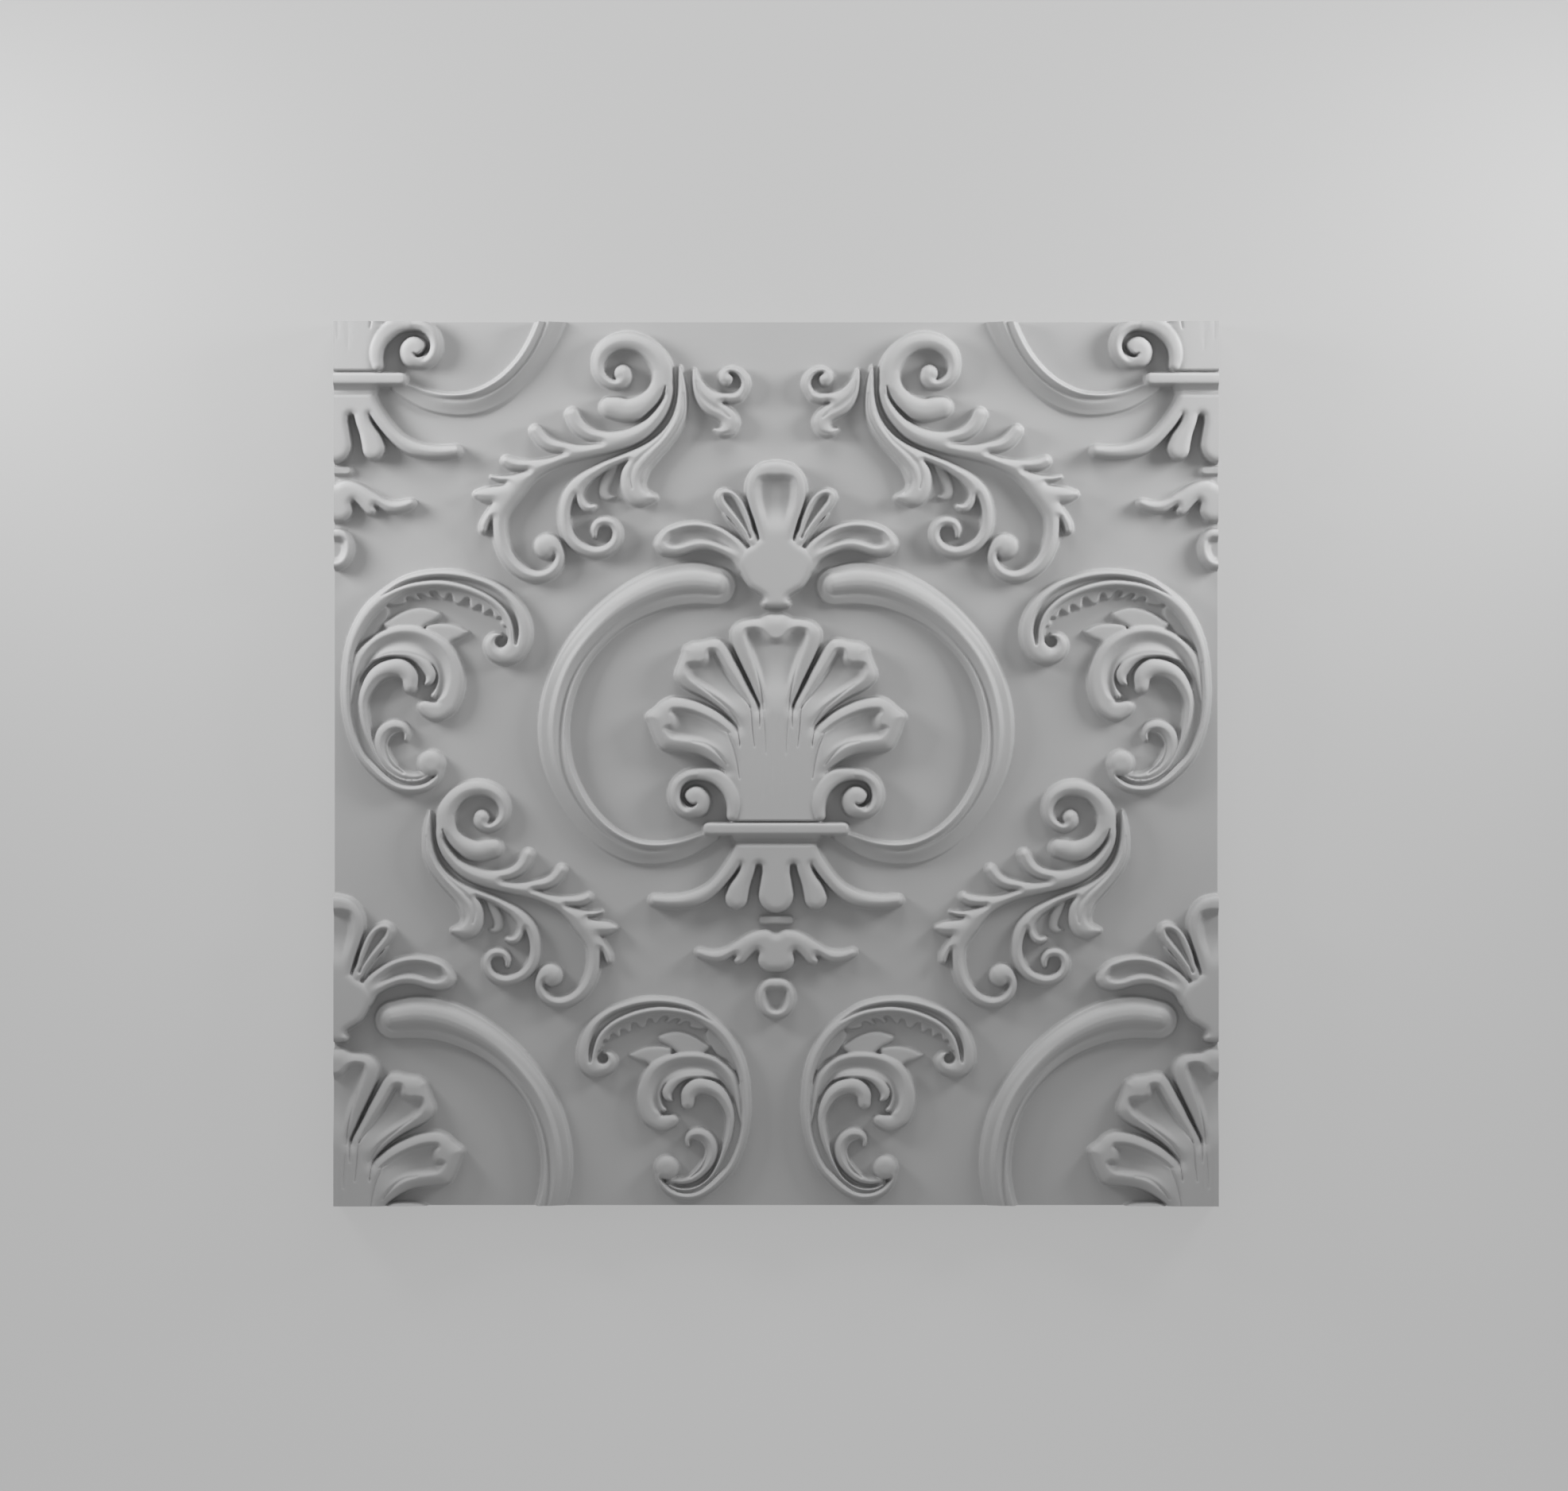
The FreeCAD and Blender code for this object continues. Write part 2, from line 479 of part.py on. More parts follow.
def pedestal_plate():
    """Straight plate with rounded corners, the highest form of the tile."""
    rise = PLATE_HEIGHT + ORNAMENT_ROOT
    corner = vec(-PLATE_HALF_LENGTH, PLATE_BOTTOM, GROUND_THICKNESS - ORNAMENT_ROOT)
    plate = Part.makeBox(2 * PLATE_HALF_LENGTH, PLATE_TOP - PLATE_BOTTOM, rise, corner)
    upright = [edge for edge in plate.Edges if edge.BoundBox.ZLength > rise / 2]
    plate = plate.makeFillet(PLATE_CORNER, upright)
    top = [edge for edge in plate.Edges if edge.BoundBox.ZMin > GROUND_THICKNESS]
    return plate.makeChamfer(SHOULDER_WIDTH, top)


def half_centre():
    """Left-hand forms of the centre motif, made once and mirrored."""
    palm_side = stroke(PALM_SIDE, PALMETTE_LOBE_HEIGHT)
    palm_side = palm_side.cut(
        dish(PALM_SIDE_DISH, PALM_SIDE_DEEPEST, PALMETTE_LOBE_HEIGHT, PALMETTE_DISH_DEPTH))
    palm_low = stroke(PALM_LOW, PALMETTE_LOBE_HEIGHT)
    palm_low = palm_low.cut(
        dish(PALM_LOW_DISH, PALM_LOW_DEEPEST, PALMETTE_LOBE_HEIGHT, PALMETTE_DISH_DEPTH))
    shell_upper = pad(SHELL_UPPER, SHELL_HEIGHT)
    shell_upper = shell_upper.cut(
        dish(SHELL_UPPER_DISH, SHELL_UPPER_DEEPEST, SHELL_HEIGHT, SHELL_DISH_DEPTH))
    shell_lower = pad(SHELL_LOWER, SHELL_HEIGHT)
    shell_lower = shell_lower.cut(
        dish(SHELL_LOWER_DISH, SHELL_LOWER_DEEPEST, SHELL_HEIGHT, SHELL_DISH_DEPTH))
    return fused([
        stroke(RING_BASE, RING_BASE_HEIGHT),
        stroke(RING_BEAD, RING_BEAD_HEIGHT),
        stroke(RING_RIB, RING_RIB_HEIGHT),
        palm_side,
        palm_low,
        shell_upper,
        shell_lower,
        stroke(SHELL_VOLUTE, VOLUTE_HEIGHT),
        disc(-44.6, -20.2, 7.4, VOLUTE_HEIGHT),
        stroke(FRINGE_LEAF, FRINGE_HEIGHT),
        stroke(FRINGE_FINGER, FRINGE_HEIGHT),
    ])


def centre_motif():
    half = half_centre()
    palm_centre = pad(PALM_CENTRE, PALMETTE_HEIGHT)
    palm_centre = palm_centre.cut(
        dish(PALM_CENTRE_DISH, PALM_CENTRE_DEEPEST, PALMETTE_HEIGHT, PALMETTE_DISH_DEPTH))
    shell_centre = pad(SHELL_CENTRE, SHELL_HEIGHT)
    shell_centre = shell_centre.cut(
        dish(SHELL_CENTRE_DISH, SHELL_CENTRE_DEEPEST, SHELL_HEIGHT, SHELL_DISH_DEPTH))
    drop = pad(DROP, DROP_HEIGHT)
    drop = drop.cut(dish(DROP_DISH, DROP_DEEPEST, DROP_HEIGHT, DROP_DISH_DEPTH))
    return fused([
        half,
        mirrored(half),
        palm_centre,
        pad(PALM_BODY, PALMETTE_HEIGHT),
        stroke(PALM_FOOT, PALMETTE_FOOT_HEIGHT),
        shell_centre,
        pad(SHELL_BODY, SHELL_BODY_HEIGHT),
        pedestal_plate(),
        pad(PEDESTAL_NECK, NECK_HEIGHT),
        stroke(FRINGE_MIDDLE, FRINGE_HEIGHT),
        stroke(SMALL_BAR, BAR_HEIGHT),
        pad(WING, WING_HEIGHT),
        drop,
    ])


def lower_repeat(motif, shift):
    """Smaller mirrored repeat of a side motif, moved down into the lower field."""
    copy = mirrored(motif)
    copy.translate(vec(0, 0, -GROUND_THICKNESS))
    copy.scale(LOWER_SCALE, vec(0, 0, 0))
    copy.translate(vec(shift[0], shift[1], GROUND_THICKNESS))
    return copy


def wall_tile():
    half = TILE_SIDE / 2
    slab = Part.makeBox(TILE_SIDE, TILE_SIDE, GROUND_THICKNESS, vec(-half, -half, 0))
    clip_height = GROUND_THICKNESS + 2 * PLATE_HEIGHT
    clip = Part.makeBox(TILE_SIDE, TILE_SIDE, clip_height, vec(-half, -half, 0))
    acanthus = acanthus_scroll()
    scroll = leafy_scroll()
    left = [
        acanthus,
        lower_repeat(acanthus, LOWER_ACANTHUS_SHIFT),
        scroll,
        lower_repeat(scroll, LOWER_SCROLL_SHIFT),
        bird_scroll(),
    ]
    centre = centre_motif()
    for shift_y in (UPPER_CORNER_SHIFT_Y, LOWER_CORNER_SHIFT_Y):
        corner = centre.copy()
        corner.translate(vec(-CORNER_SHIFT_X, shift_y, 0))
        left.append(corner.common(clip))
    pieces = [slab, centre] + left + [mirrored(shape) for shape in left]
    tile = fused(pieces)
    return tile.Solids[0]


def main():
    os.makedirs("parts", exist_ok=True)
    tile = wall_tile()
    tile.exportStep("parts/wall_panel.step")
    print("wall_panel", tile.isValid(), round(tile.Volume), len(tile.Faces))


main()
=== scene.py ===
import math
import bpy
import numpy as np
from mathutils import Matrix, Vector


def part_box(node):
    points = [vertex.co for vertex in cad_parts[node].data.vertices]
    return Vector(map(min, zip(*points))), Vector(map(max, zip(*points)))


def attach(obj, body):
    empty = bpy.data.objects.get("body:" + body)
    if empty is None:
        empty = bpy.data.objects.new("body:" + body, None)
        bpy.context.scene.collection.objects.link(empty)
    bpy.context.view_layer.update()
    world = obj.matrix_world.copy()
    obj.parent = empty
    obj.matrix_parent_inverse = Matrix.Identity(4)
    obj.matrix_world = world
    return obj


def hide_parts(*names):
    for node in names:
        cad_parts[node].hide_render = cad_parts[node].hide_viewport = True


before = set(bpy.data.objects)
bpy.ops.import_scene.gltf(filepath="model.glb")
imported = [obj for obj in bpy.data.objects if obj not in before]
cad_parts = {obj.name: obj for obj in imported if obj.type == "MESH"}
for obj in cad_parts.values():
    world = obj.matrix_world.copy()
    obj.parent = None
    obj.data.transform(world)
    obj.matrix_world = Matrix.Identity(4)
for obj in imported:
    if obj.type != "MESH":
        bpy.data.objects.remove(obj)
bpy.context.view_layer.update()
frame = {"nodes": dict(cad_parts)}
print("frame loaded:", ", ".join(frame["nodes"]))

panelNode = "wall_panel"
mm = 0.001
panelLow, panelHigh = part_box(panelNode)

tile = {
    "side": (panelHigh.x - panelLow.x) / mm,
    "plateRise": 14.0,        # the highest ornament above the ground, which is also the top of the CAD box
    "layerDepth": 4.0,        # the relief pieces start this far below the ground
    "cells": 1024,            # finest cells along one side
    "coarse": 16,             # finest cells along one coarse cell
    "tolerance": 0.045,       # how far a flat cell may leave the true surface
    "softness": 0.33,         # radius of the blur that stands for the soft arrises of a casting
    "arris": 0.8,             # rounding of the lower edge at the back
    "arrisPoints": 7,         # points round that arris
}
cell = tile["side"] / tile["cells"]
halfCells = tile["cells"] // 2
halfSide = tile["side"] / 2
groundLevel = panelHigh.z / mm - tile["plateRise"]

# Every ornament is drawn on the left half of the tile, in millimetres from its middle,
# as a grid of heights above the ground. The right half is its mirror image.

sampleStep = 0.7            # spacing of the points along a curve
wallReach = 0.4             # a wall rises from this far outside its outline to this far inside
rimReach = 0.5              # distances to an outline are kept this much further than its shoulder
dishLip = 0.3               # a hollow starts this far outside its rim
mostDrop = 0.8              # a shoulder falls by no more than this share of the rise
pieceShare = 0.55           # pieces of a stroke overlap: each spans this share of the spacing both ways
widest = 1.2                # offsets across a stroke are cut off here, in half widths
farOutside = -2.0           # distance of a point that no outline is near to


def curveThrough(points, step, closed=False):
    # A smooth curve through the given points: cubic pieces whose tangent at a point is the mean of the
    # slopes before and after it, the nearer neighbour's counting more. Each row holds x, y and whatever
    # else the points carry.
    p = np.array(points, float)
    if closed:
        p = np.vstack([p[-2:], p, p[:3]])
    chord = np.maximum(np.hypot(*np.diff(p[:, :2], axis=0).T), 1e-6)
    knot = np.concatenate([[0.0], np.cumsum(chord)])
    slope = np.diff(p, axis=0) / chord[:, None]
    tangent = np.empty_like(p)
    tangent[0] = slope[0]
    tangent[-1] = slope[-1]
    weight = (chord[:-1] / (chord[:-1] + chord[1:]))[:, None]
    tangent[1:-1] = slope[:-1] * (1 - weight) + slope[1:] * weight
    first, last = (knot[2], knot[-3]) if closed else (0.0, knot[-1])
    count = max(int((last - first) / step), 3)
    s = np.linspace(first, last, count + 1)
    if closed:
        s = s[:-1]
    k = np.clip(np.searchsorted(knot, s, side="right") - 1, 0, len(chord) - 1)
    h = chord[k][:, None]
    u = ((s - knot[k]) / chord[k])[:, None]
    a = p[k] * (2 * u**3 - 3 * u**2 + 1) + p[k + 1] * (3 * u**2 - 2 * u**3)
    b = tangent[k] * (u**3 - 2 * u**2 + u) * h + tangent[k + 1] * (u**3 - u**2) * h
    return a + b


def smooth(a):
    # 0 below 0, 1 above 1, an S-shaped rise between
    a = np.clip(a, 0.0, 1.0)
    return a * a * (3 - 2 * a)


def newField():
    return np.zeros((tile["cells"] + 1, halfCells + 1))


def placed(points, place):
    # the same stroke somewhere else: nudged, mirrored, scaled and shifted
    p = np.array(points, float)
    if place:
        for (x, y), move, reach in place.get("nudges", []):
            # a nudge fades with the distance from its centre like a bell curve
            fade = np.exp(-0.5 * ((p[:, 0] - x)**2 + (p[:, 1] - y)**2) / reach**2)
            p[:, :2] += fade[:, None] * np.array(move)
        p[:, 0] = -p[:, 0] * place["scale"] + place["shift"][0]
        p[:, 1] = p[:, 1] * place["scale"] + place["shift"][1]
        if p.shape[1] > 2:
            p[:, 2] *= place["scale"]
    return p


def strung(path, half, reach):
    # Short tapering pieces strung along a path. For each grid point near one: how far it lies inside
    # that piece, its number, and how far to the right of the path the point is.
    heading = np.gradient(path, axis=0)
    heading /= np.maximum(np.hypot(heading[:, 0], heading[:, 1]), 1e-9)[:, None]
    spacing = np.hypot(*np.gradient(path, axis=0).T)
    growth = np.gradient(half) / np.maximum(spacing, 1e-9)
    span = int((half.max() + reach) / cell) + 2
    offset = np.arange(-span, span + 1)
    col = np.rint((path[:, 0] + halfSide) / cell).astype(int)[:, None] + offset
    row = np.rint((path[:, 1] + halfSide) / cell).astype(int)[:, None] + offset
    dx = (col * cell - halfSide - path[:, 0][:, None])[:, None, :]
    dy = (row * cell - halfSide - path[:, 1][:, None])[:, :, None]
    hx, hy = heading[:, 0][:, None, None], heading[:, 1][:, None, None]
    ahead = dx * hx + dy * hy
    aside = dx * hy - dy * hx
    slide = np.clip(ahead, -pieceShare * spacing[:, None, None], pieceShare * spacing[:, None, None])
    inside = half[:, None, None] + growth[:, None, None] * slide - np.hypot(ahead - slide, aside)
    keep = inside > -reach
    keep &= ((row >= 0) & (row <= tile["cells"]))[:, :, None]
    keep &= ((col >= 0) & (col <= halfCells))[:, None, :]
    which, i, j = np.nonzero(keep)
    return row[which, i] * (halfCells + 1) + col[which, j], inside[keep], which, aside[keep]


def sweep(points, reach, place=None):
    # A stroke of the given half widths along the curve. For each grid point near it: how far inside it
    # lies, the half width there, its place along the curve from 0 to 1, and its offset to the right
    # of the curve as a share of the half width.
    path = curveThrough(placed(points, place), sampleStep)
    at, inside, which, aside = strung(path[:, :2], path[:, 2], reach)
    if place:
        aside = -aside      # a mirrored stroke keeps its left and right
    low = at.min() if len(at) else 0
    best = np.full((at.max() - low + 1) if len(at) else 1, -np.inf)
    np.maximum.at(best, at - low, inside)
    winner = inside == best[at - low]
    at, inside, which, aside = at[winner], inside[winner], which[winner], aside[winner]
    half = path[which, 2]
    return {
        "at": at,
        "inside": inside,
        "half": half,
        "along": which / (len(path) - 1),
        "across": np.clip(aside / half, -widest, widest),
    }


def raiseTo(field, at, height):
    flat = field.reshape(-1)
    np.maximum.at(flat, at, height)


def wall(inside):
    # the steep side of a form: 0 outside its outline, 1 just inside
    return smooth((inside + wallReach) / (2 * wallReach))


def shoulder(inside, edge):
    # quarter of an ellipse from the outline (0) to the flat top (1)
    e = np.clip(inside / edge, 0.0, 1.0)
    return np.sqrt(1 - (1 - e)**2)


def band(field, look, place=None):
    # A rounded band along a curve: its crest stands at "rise", and its shoulder of width "edge", or else
    # of the whole half width, falls by "drop" before the wall. "end" is the share of the rise that is
    # left at the end of the band, and "endRun" the share of its length over which it falls to that.
    s = sweep(look["line"], wallReach, place)
    lift = place["lift"] if place else 1.0
    edge = np.minimum(look.get("edge", np.inf), s["half"])
    rise = np.full(len(s["at"]), look["rise"] * lift)
    if "end" in look:
        toEnd = smooth(1 - (1 - s["along"]) / look["endRun"])
        rise *= 1 - (1 - look["end"]) * toEnd
    drop = np.minimum(look["drop"], mostDrop * rise)
    height = wall(s["inside"]) * (rise - drop * (1 - shoulder(s["inside"], edge)))
    raiseTo(field, s["at"], height)


def crease(field, look, place=None):
    # a soft furrow pressed into what is there: deepest on the curve, gone at its half width
    s = sweep(look["line"], 0.0, place)
    depth = look["depth"] * smooth(s["inside"] / s["half"])
    flat = field.reshape(-1)
    at, index = np.unique(s["at"], return_index=True)
    flat[at] = np.maximum(flat[at] - depth[index], 0.0)


def channel(field, look, place=None):
    # a flat-bottomed groove cut down to "floor"
    s = sweep(look["line"], wallReach, place)
    lift = place["lift"] if place else 1.0
    cut = smooth((s["inside"] + wallReach) / (wallReach + look.get("slope", wallReach)))
    flat = field.reshape(-1)
    at, index = np.unique(s["at"], return_index=True)
    flat[at] += (np.minimum(flat[at], look["floor"] * lift) - flat[at]) * cut[index]


def outlineDistance(points, reach, place=None):
    # signed distance to a closed outline, positive inside and no more than the reach
    path = curveThrough(placed(points, place), sampleStep, closed=True)
    pad = reach + 2 * cell
    colLow = max(int((path[:, 0].min() - pad + halfSide) / cell), 0)
    colHigh = min(int((path[:, 0].max() + pad + halfSide) / cell) + 1, halfCells)
    rowLow = max(int((path[:, 1].min() - pad + halfSide) / cell), 0)
    rowHigh = min(int((path[:, 1].max() + pad + halfSide) / cell) + 1, tile["cells"])
    x = np.arange(colLow, colHigh + 1) * cell - halfSide
    y = np.arange(rowLow, rowHigh + 1) * cell - halfSide
    # even-odd rule: a grid point is inside if a ray to its left crosses the outline an odd number of times
    nextPoint = np.roll(path, -1, axis=0)
    above = (path[None, :, 1] > y[:, None]) != (nextPoint[None, :, 1] > y[:, None])
    rise = nextPoint[:, 1] - path[:, 1]
    rise = np.where(np.abs(rise) < 1e-9, 1e-9, rise)
    crossing = path[:, 0] + (y[:, None] - path[:, 1]) * (nextPoint[:, 0] - path[:, 0]) / rise
    crossing = np.where(above, crossing, np.inf)
    odd = (crossing[:, None, :] < x[None, :, None]).sum(axis=2) % 2 == 1
    rows, cols = np.meshgrid(np.arange(rowLow, rowHigh + 1), np.arange(colLow, colHigh + 1), indexing="ij")
    at = (rows * (halfCells + 1) + cols).reshape(-1)
    ring = np.vstack([path, path[:1]])
    rimAt, rimInside, _, _ = strung(ring, np.zeros(len(ring)), reach)
    near = np.full((tile["cells"] + 1) * (halfCells + 1), reach)
    np.minimum.at(near, rimAt, -rimInside)
    inside = np.where(odd.reshape(-1), near[at], -near[at])
    return at, inside


def lobe(field, look, place=None):
    # a form with a drawn outline: flat top at "rise", rounded shoulder like a band's
    edge = look["edge"]
    at, inside = outlineDistance(look["outline"], edge + rimReach, place)
    lift = place["lift"] if place else 1.0
    drop = min(look["drop"], mostDrop * look["rise"])
    height = wall(inside) * (look["rise"] * lift - drop * (1 - shoulder(inside, edge)))
    raiseTo(field, at, height)


def pillow(field, look, place=None):
    # One swelling form out of several strokes and outlines. It rises with the distance to their common
    # outline, which is found from the grid points next to it: the least sum of the way to such a point
    # and that point's own distance.
    edge = look["edge"]
    signed = np.full(field.size, farOutside)
    for part in look["parts"]:
        if len(part[0]) == 3:
            s = sweep(part, 2 * cell, place)
            np.maximum.at(signed, s["at"], s["inside"])
        else:
            at, inside = outlineDistance(part, edge + rimReach, place)
            np.maximum.at(signed, at, inside)
    signed = signed.reshape(field.shape)
    rows, cols = np.nonzero(signed > -2 * cell)
    window = (slice(rows.min(), rows.max() + 1), slice(cols.min(), cols.max() + 1))
    signed = signed[window]
    near = np.where(np.abs(signed) < cell, signed, np.inf)
    span = int(edge / cell) + 1
    padded = np.pad(near, span, constant_values=np.inf)
    depth = np.full(signed.shape, edge)
    for i in range(-span, span + 1):
        for j in range(-span, span + 1):
            way = math.hypot(i, j) * cell
            if way < edge + cell:
                there = padded[span + i:span + i + signed.shape[0], span + j:span + j + signed.shape[1]]
                depth = np.minimum(depth, there + way)
    inside = np.where(signed > 0, np.minimum(depth, edge), signed)
    lift = place["lift"] if place else 1.0
    height = wall(inside) * (look["rise"] * lift - look["drop"] * (1 - shoulder(inside, edge)))
    field[window] = np.maximum(field[window], height)


def twinned(points):
    # the left half of an outline from the middle line down to the middle line again, closed on the right
    return points + [(-x, y) for x, y in points[::-1] if x < 0]


def dish(field, look, place=None):
    # a hollow with a drawn outline, sunk by "depth" over a bank of width "bank"
    at, inside = outlineDistance(look["outline"], look["bank"] + rimReach, place)
    sink = look["depth"] * smooth((inside + dishLip) / (look["bank"] + dishLip))
    if "fade" in look:
        # the hollow grows shallow from the first fade point to the second
        (x0, y0), (x1, y1) = look["fade"]
        x = (at % (halfCells + 1)) * cell - halfSide
        y = (at // (halfCells + 1)) * cell - halfSide
        run = ((x - x0) * (x1 - x0) + (y - y0) * (y1 - y0)) / ((x1 - x0)**2 + (y1 - y0)**2)
        sink = sink * (1 - smooth(run))
    flat = field.reshape(-1)
    flat[at] = np.maximum(flat[at] - sink, 0.0)


# Acanthus scroll: two long stems that rise from a spike and a volute, with fronds along them.
acanthus = {
    "body": {"rise": 9.8, "drop": 5.0, "edge": 6.0, "parts": [
        # volute, from its eye outwards
        [(-86.6, 220.4, 5.0), (-85.9, 218.6, 4.5), (-86.9, 216.4, 3.7), (-90.5, 214.7, 2.9),
         (-96, 216.5, 3.1), (-99.8, 221, 3.4), (-100.6, 226.5, 3.6), (-98.5, 232.7, 4.3), (-93, 237.3, 4.7),
         (-84, 239.2, 5.1), (-75, 236.8, 5.1), (-68, 230.7, 5.5), (-64.2, 222.5, 6), (-64.2, 217, 5.8)],
        # the blunt leaf under the volute
        [(-64.2, 221.5, 6.0), (-65.2, 215.4, 5.6), (-68.2, 210, 5.1), (-72.8, 204.9, 5.7),
         (-78.3, 201.4, 6.4), (-84.8, 200.2, 6.45), (-90.5, 201.3, 6.4), (-93.6, 201.8, 6.0)],
        # long stem and its ball
        [(-63.6, 220, 5.6), (-61.8, 215, 3.8), (-60.7, 211, 2.9), (-61.4, 206.6, 2.9), (-65, 199.2, 3.5),
         (-69.2, 193.9, 3.8), (-76, 187.5, 3.9), (-84, 183, 3.7), (-92, 180.3, 3.5), (-100, 178.1, 3.4),
         (-110, 175.6, 3.2), (-120, 172.9, 3.1), (-128, 169.6, 3.1), (-131, 168, 3.0), (-138, 163.7, 3.3),
         (-144, 159, 4.5), (-149.5, 154, 6), (-153.5, 148, 5.5), (-156.2, 141, 4.6), (-156.5, 133, 4.1),
         (-155.3, 125, 4.1), (-152.3, 117.5, 4), (-147.5, 111.5, 3.9), (-141.5, 107.5, 3.7), (-135, 106, 3.5),
         (-128.5, 107.7, 3.3), (-124.2, 111.7, 3.1), (-122.4, 117.5, 3), (-123.8, 122, 3.4),
         (-126.6, 124.6, 4.6), (-129.6, 123.6, 6.6), (-130, 123.2, 6.8)],
        # fronds along its outer side
        [(-70, 193.5, 3.2), (-77, 189, 3.4), (-84, 186.2, 3.5), (-92, 184.6, 3.6), (-100, 185.1, 3.5),
         (-106, 186.8, 3.7), (-111, 190.2, 4), (-113.8, 194, 4.1), (-115.2, 197.3, 4)],
        [(-92, 180.6, 3.0), (-100, 178.8, 3.1), (-108, 177.6, 3.1), (-114, 177.8, 3.1), (-120, 178.9, 3.1),
         (-126, 180, 3.6), (-130.5, 182, 3.8), (-133.7, 185, 3.8), (-136, 188, 3.6)],
        [(-118, 173.6, 2.8), (-125, 171.2, 2.9), (-132, 169.7, 2.9), (-140, 169, 3.1), (-146, 169.2, 3.4),
         (-150, 170, 3.5), (-152.3, 171.1, 3.2)],
        [(-134, 166, 2.6), (-142, 162.6, 3.0), (-150, 161.2, 2.4), (-157, 161.4, 1.7), (-160.6, 162.2, 1.0)],
        [(-151, 154, 4.8), (-155, 152.8, 5.0), (-160, 152.2, 4.8), (-165, 152.1, 4), (-169, 152.4, 2.2)],
        [(-153, 152, 4), (-157, 147.5, 3.2), (-160.5, 143, 2.7), (-163.5, 138.6, 2.7), (-165.1, 135, 2.7),
         (-165.5, 132.8, 2.4)],
    ]},
    "inner": {"rise": 9.4, "drop": 4.6, "edge": 5.4, "parts": [
        # spike, and the inner stem that springs from it
        [(-54.4, 224.1, 1.0), (-54.2, 219, 1.5), (-53.7, 212, 2.2), (-54.0, 205, 2.6), (-55.2, 199.3, 2.7),
         (-58.2, 192.4, 2.7), (-62.5, 186.6, 2.7), (-68.8, 181.3, 2.6), (-75.5, 177.5, 2.5),
         (-82, 174.6, 2.5), (-90, 171.5, 2.4), (-96, 169, 2.5), (-102, 165.6, 3), (-108, 161.8, 3.6),
         (-113, 157.5, 3.9), (-116.8, 152.5, 3.9), (-119, 146.5, 3.7), (-119.7, 140, 3.5),
         (-119.2, 134, 3.5), (-117, 128.5, 3.5), (-112.8, 123.8, 3.5), (-107.5, 120.9, 3.4),
         (-102, 119.7, 3.4), (-96.5, 120.8, 3.3), (-92.3, 123.8, 3.1), (-90, 128.2, 3), (-90.2, 132.6, 2.9),
         (-92.6, 136, 2.9), (-97, 137.2, 2.9), (-101, 135.8, 2.7), (-102.8, 132.5, 2.4),
         (-102.6, 129.4, 1.6)],
        [(-102, 166, 2.6), (-107.4, 160.6, 2.6), (-110.6, 155.6, 2.3), (-111.2, 151.2, 2.3),
         (-110, 147.8, 2.6), (-107.5, 145.2, 2.7), (-104.8, 144.7, 2.4), (-103.2, 145.2, 1.9)],
        # right-hand strands of the spike, running out into a curled leaf
        [(-53.8, 222, 1.0), (-53.2, 219, 1.3), (-52.6, 214, 1.7), (-52.4, 206, 2.2), (-53.4, 198, 2.7),
         (-57.0, 189.8, 3.2), (-62.8, 182.4, 3.6), (-69.6, 175.6, 4.2), (-75.6, 169.4, 5.0),
         (-79.6, 163, 6.3), (-80.7, 158.4, 6.6), (-79.2, 154.4, 5.9), (-75.8, 151.6, 4.6),
         (-71.8, 150.6, 3.2), (-69.6, 150.6, 2.2)],
        [(-76, 174.4, 2.6), (-81, 170.4, 3), (-84.2, 165, 3.2), (-84.8, 159.4, 3.3), (-83.8, 154.6, 3.6),
         (-80.4, 150.4, 3.9), (-76, 148.9, 3.2), (-72, 149.5, 2.4)],
    ]},
    "crack": {"floor": 0.5, "slope": 0.8, "line": [
        (-62.8, 213, 0.15), (-63.4, 210, 0.3), (-64.6, 207, 0.45), (-66.6, 203.9, 0.6), (-69, 201, 0.8),
        (-71.8, 198.2, 1.0), (-74.8, 195.6, 1.0), (-77, 194.2, 0.8)]},
    "creases": [
        {"depth": 0.9, "line": [(-56.2, 199.5, 0.5), (-58.4, 194.4, 1.0), (-62, 188, 1.2),
                                (-66, 182.8, 1.4), (-71.3, 178, 1.5), (-77.1, 172.9, 1.9),
                                (-80.9, 167.6, 2.1), (-82.3, 161.6, 2.1), (-81.4, 156, 1.0)]},
        {"depth": 1.3, "line": [(-52.2, 209, 0.6), (-52.5, 199, 1.3), (-56.2, 190.2, 1.7),
                                (-61.2, 182.6, 2.0), (-67, 175.9, 2.2), (-72.4, 169.7, 2.5),
                                (-76, 164.6, 2.8), (-77, 160, 2.8), (-75.6, 155.8, 2.4),
                                (-72.8, 153, 1.0)]},
    ],
    "lowLeaf": {"rise": 3.6, "drop": 1.8, "line": [
        (-90.5, 168.5, 1.4), (-95, 162, 3.2), (-97, 157, 3.4), (-97, 153, 3.2), (-94.5, 150.9, 2),
        (-92, 150.9, 1)]},
}


def acanthusScroll(place=None):
    field = newField()
    band(field, acanthus["lowLeaf"], place)
    pillow(field, acanthus["body"], place)
    channel(field, acanthus["crack"], place)
    inner = newField()
    pillow(inner, acanthus["inner"], place)
    for look in acanthus["creases"]:
        crease(inner, look, place)
    return np.maximum(field, inner)


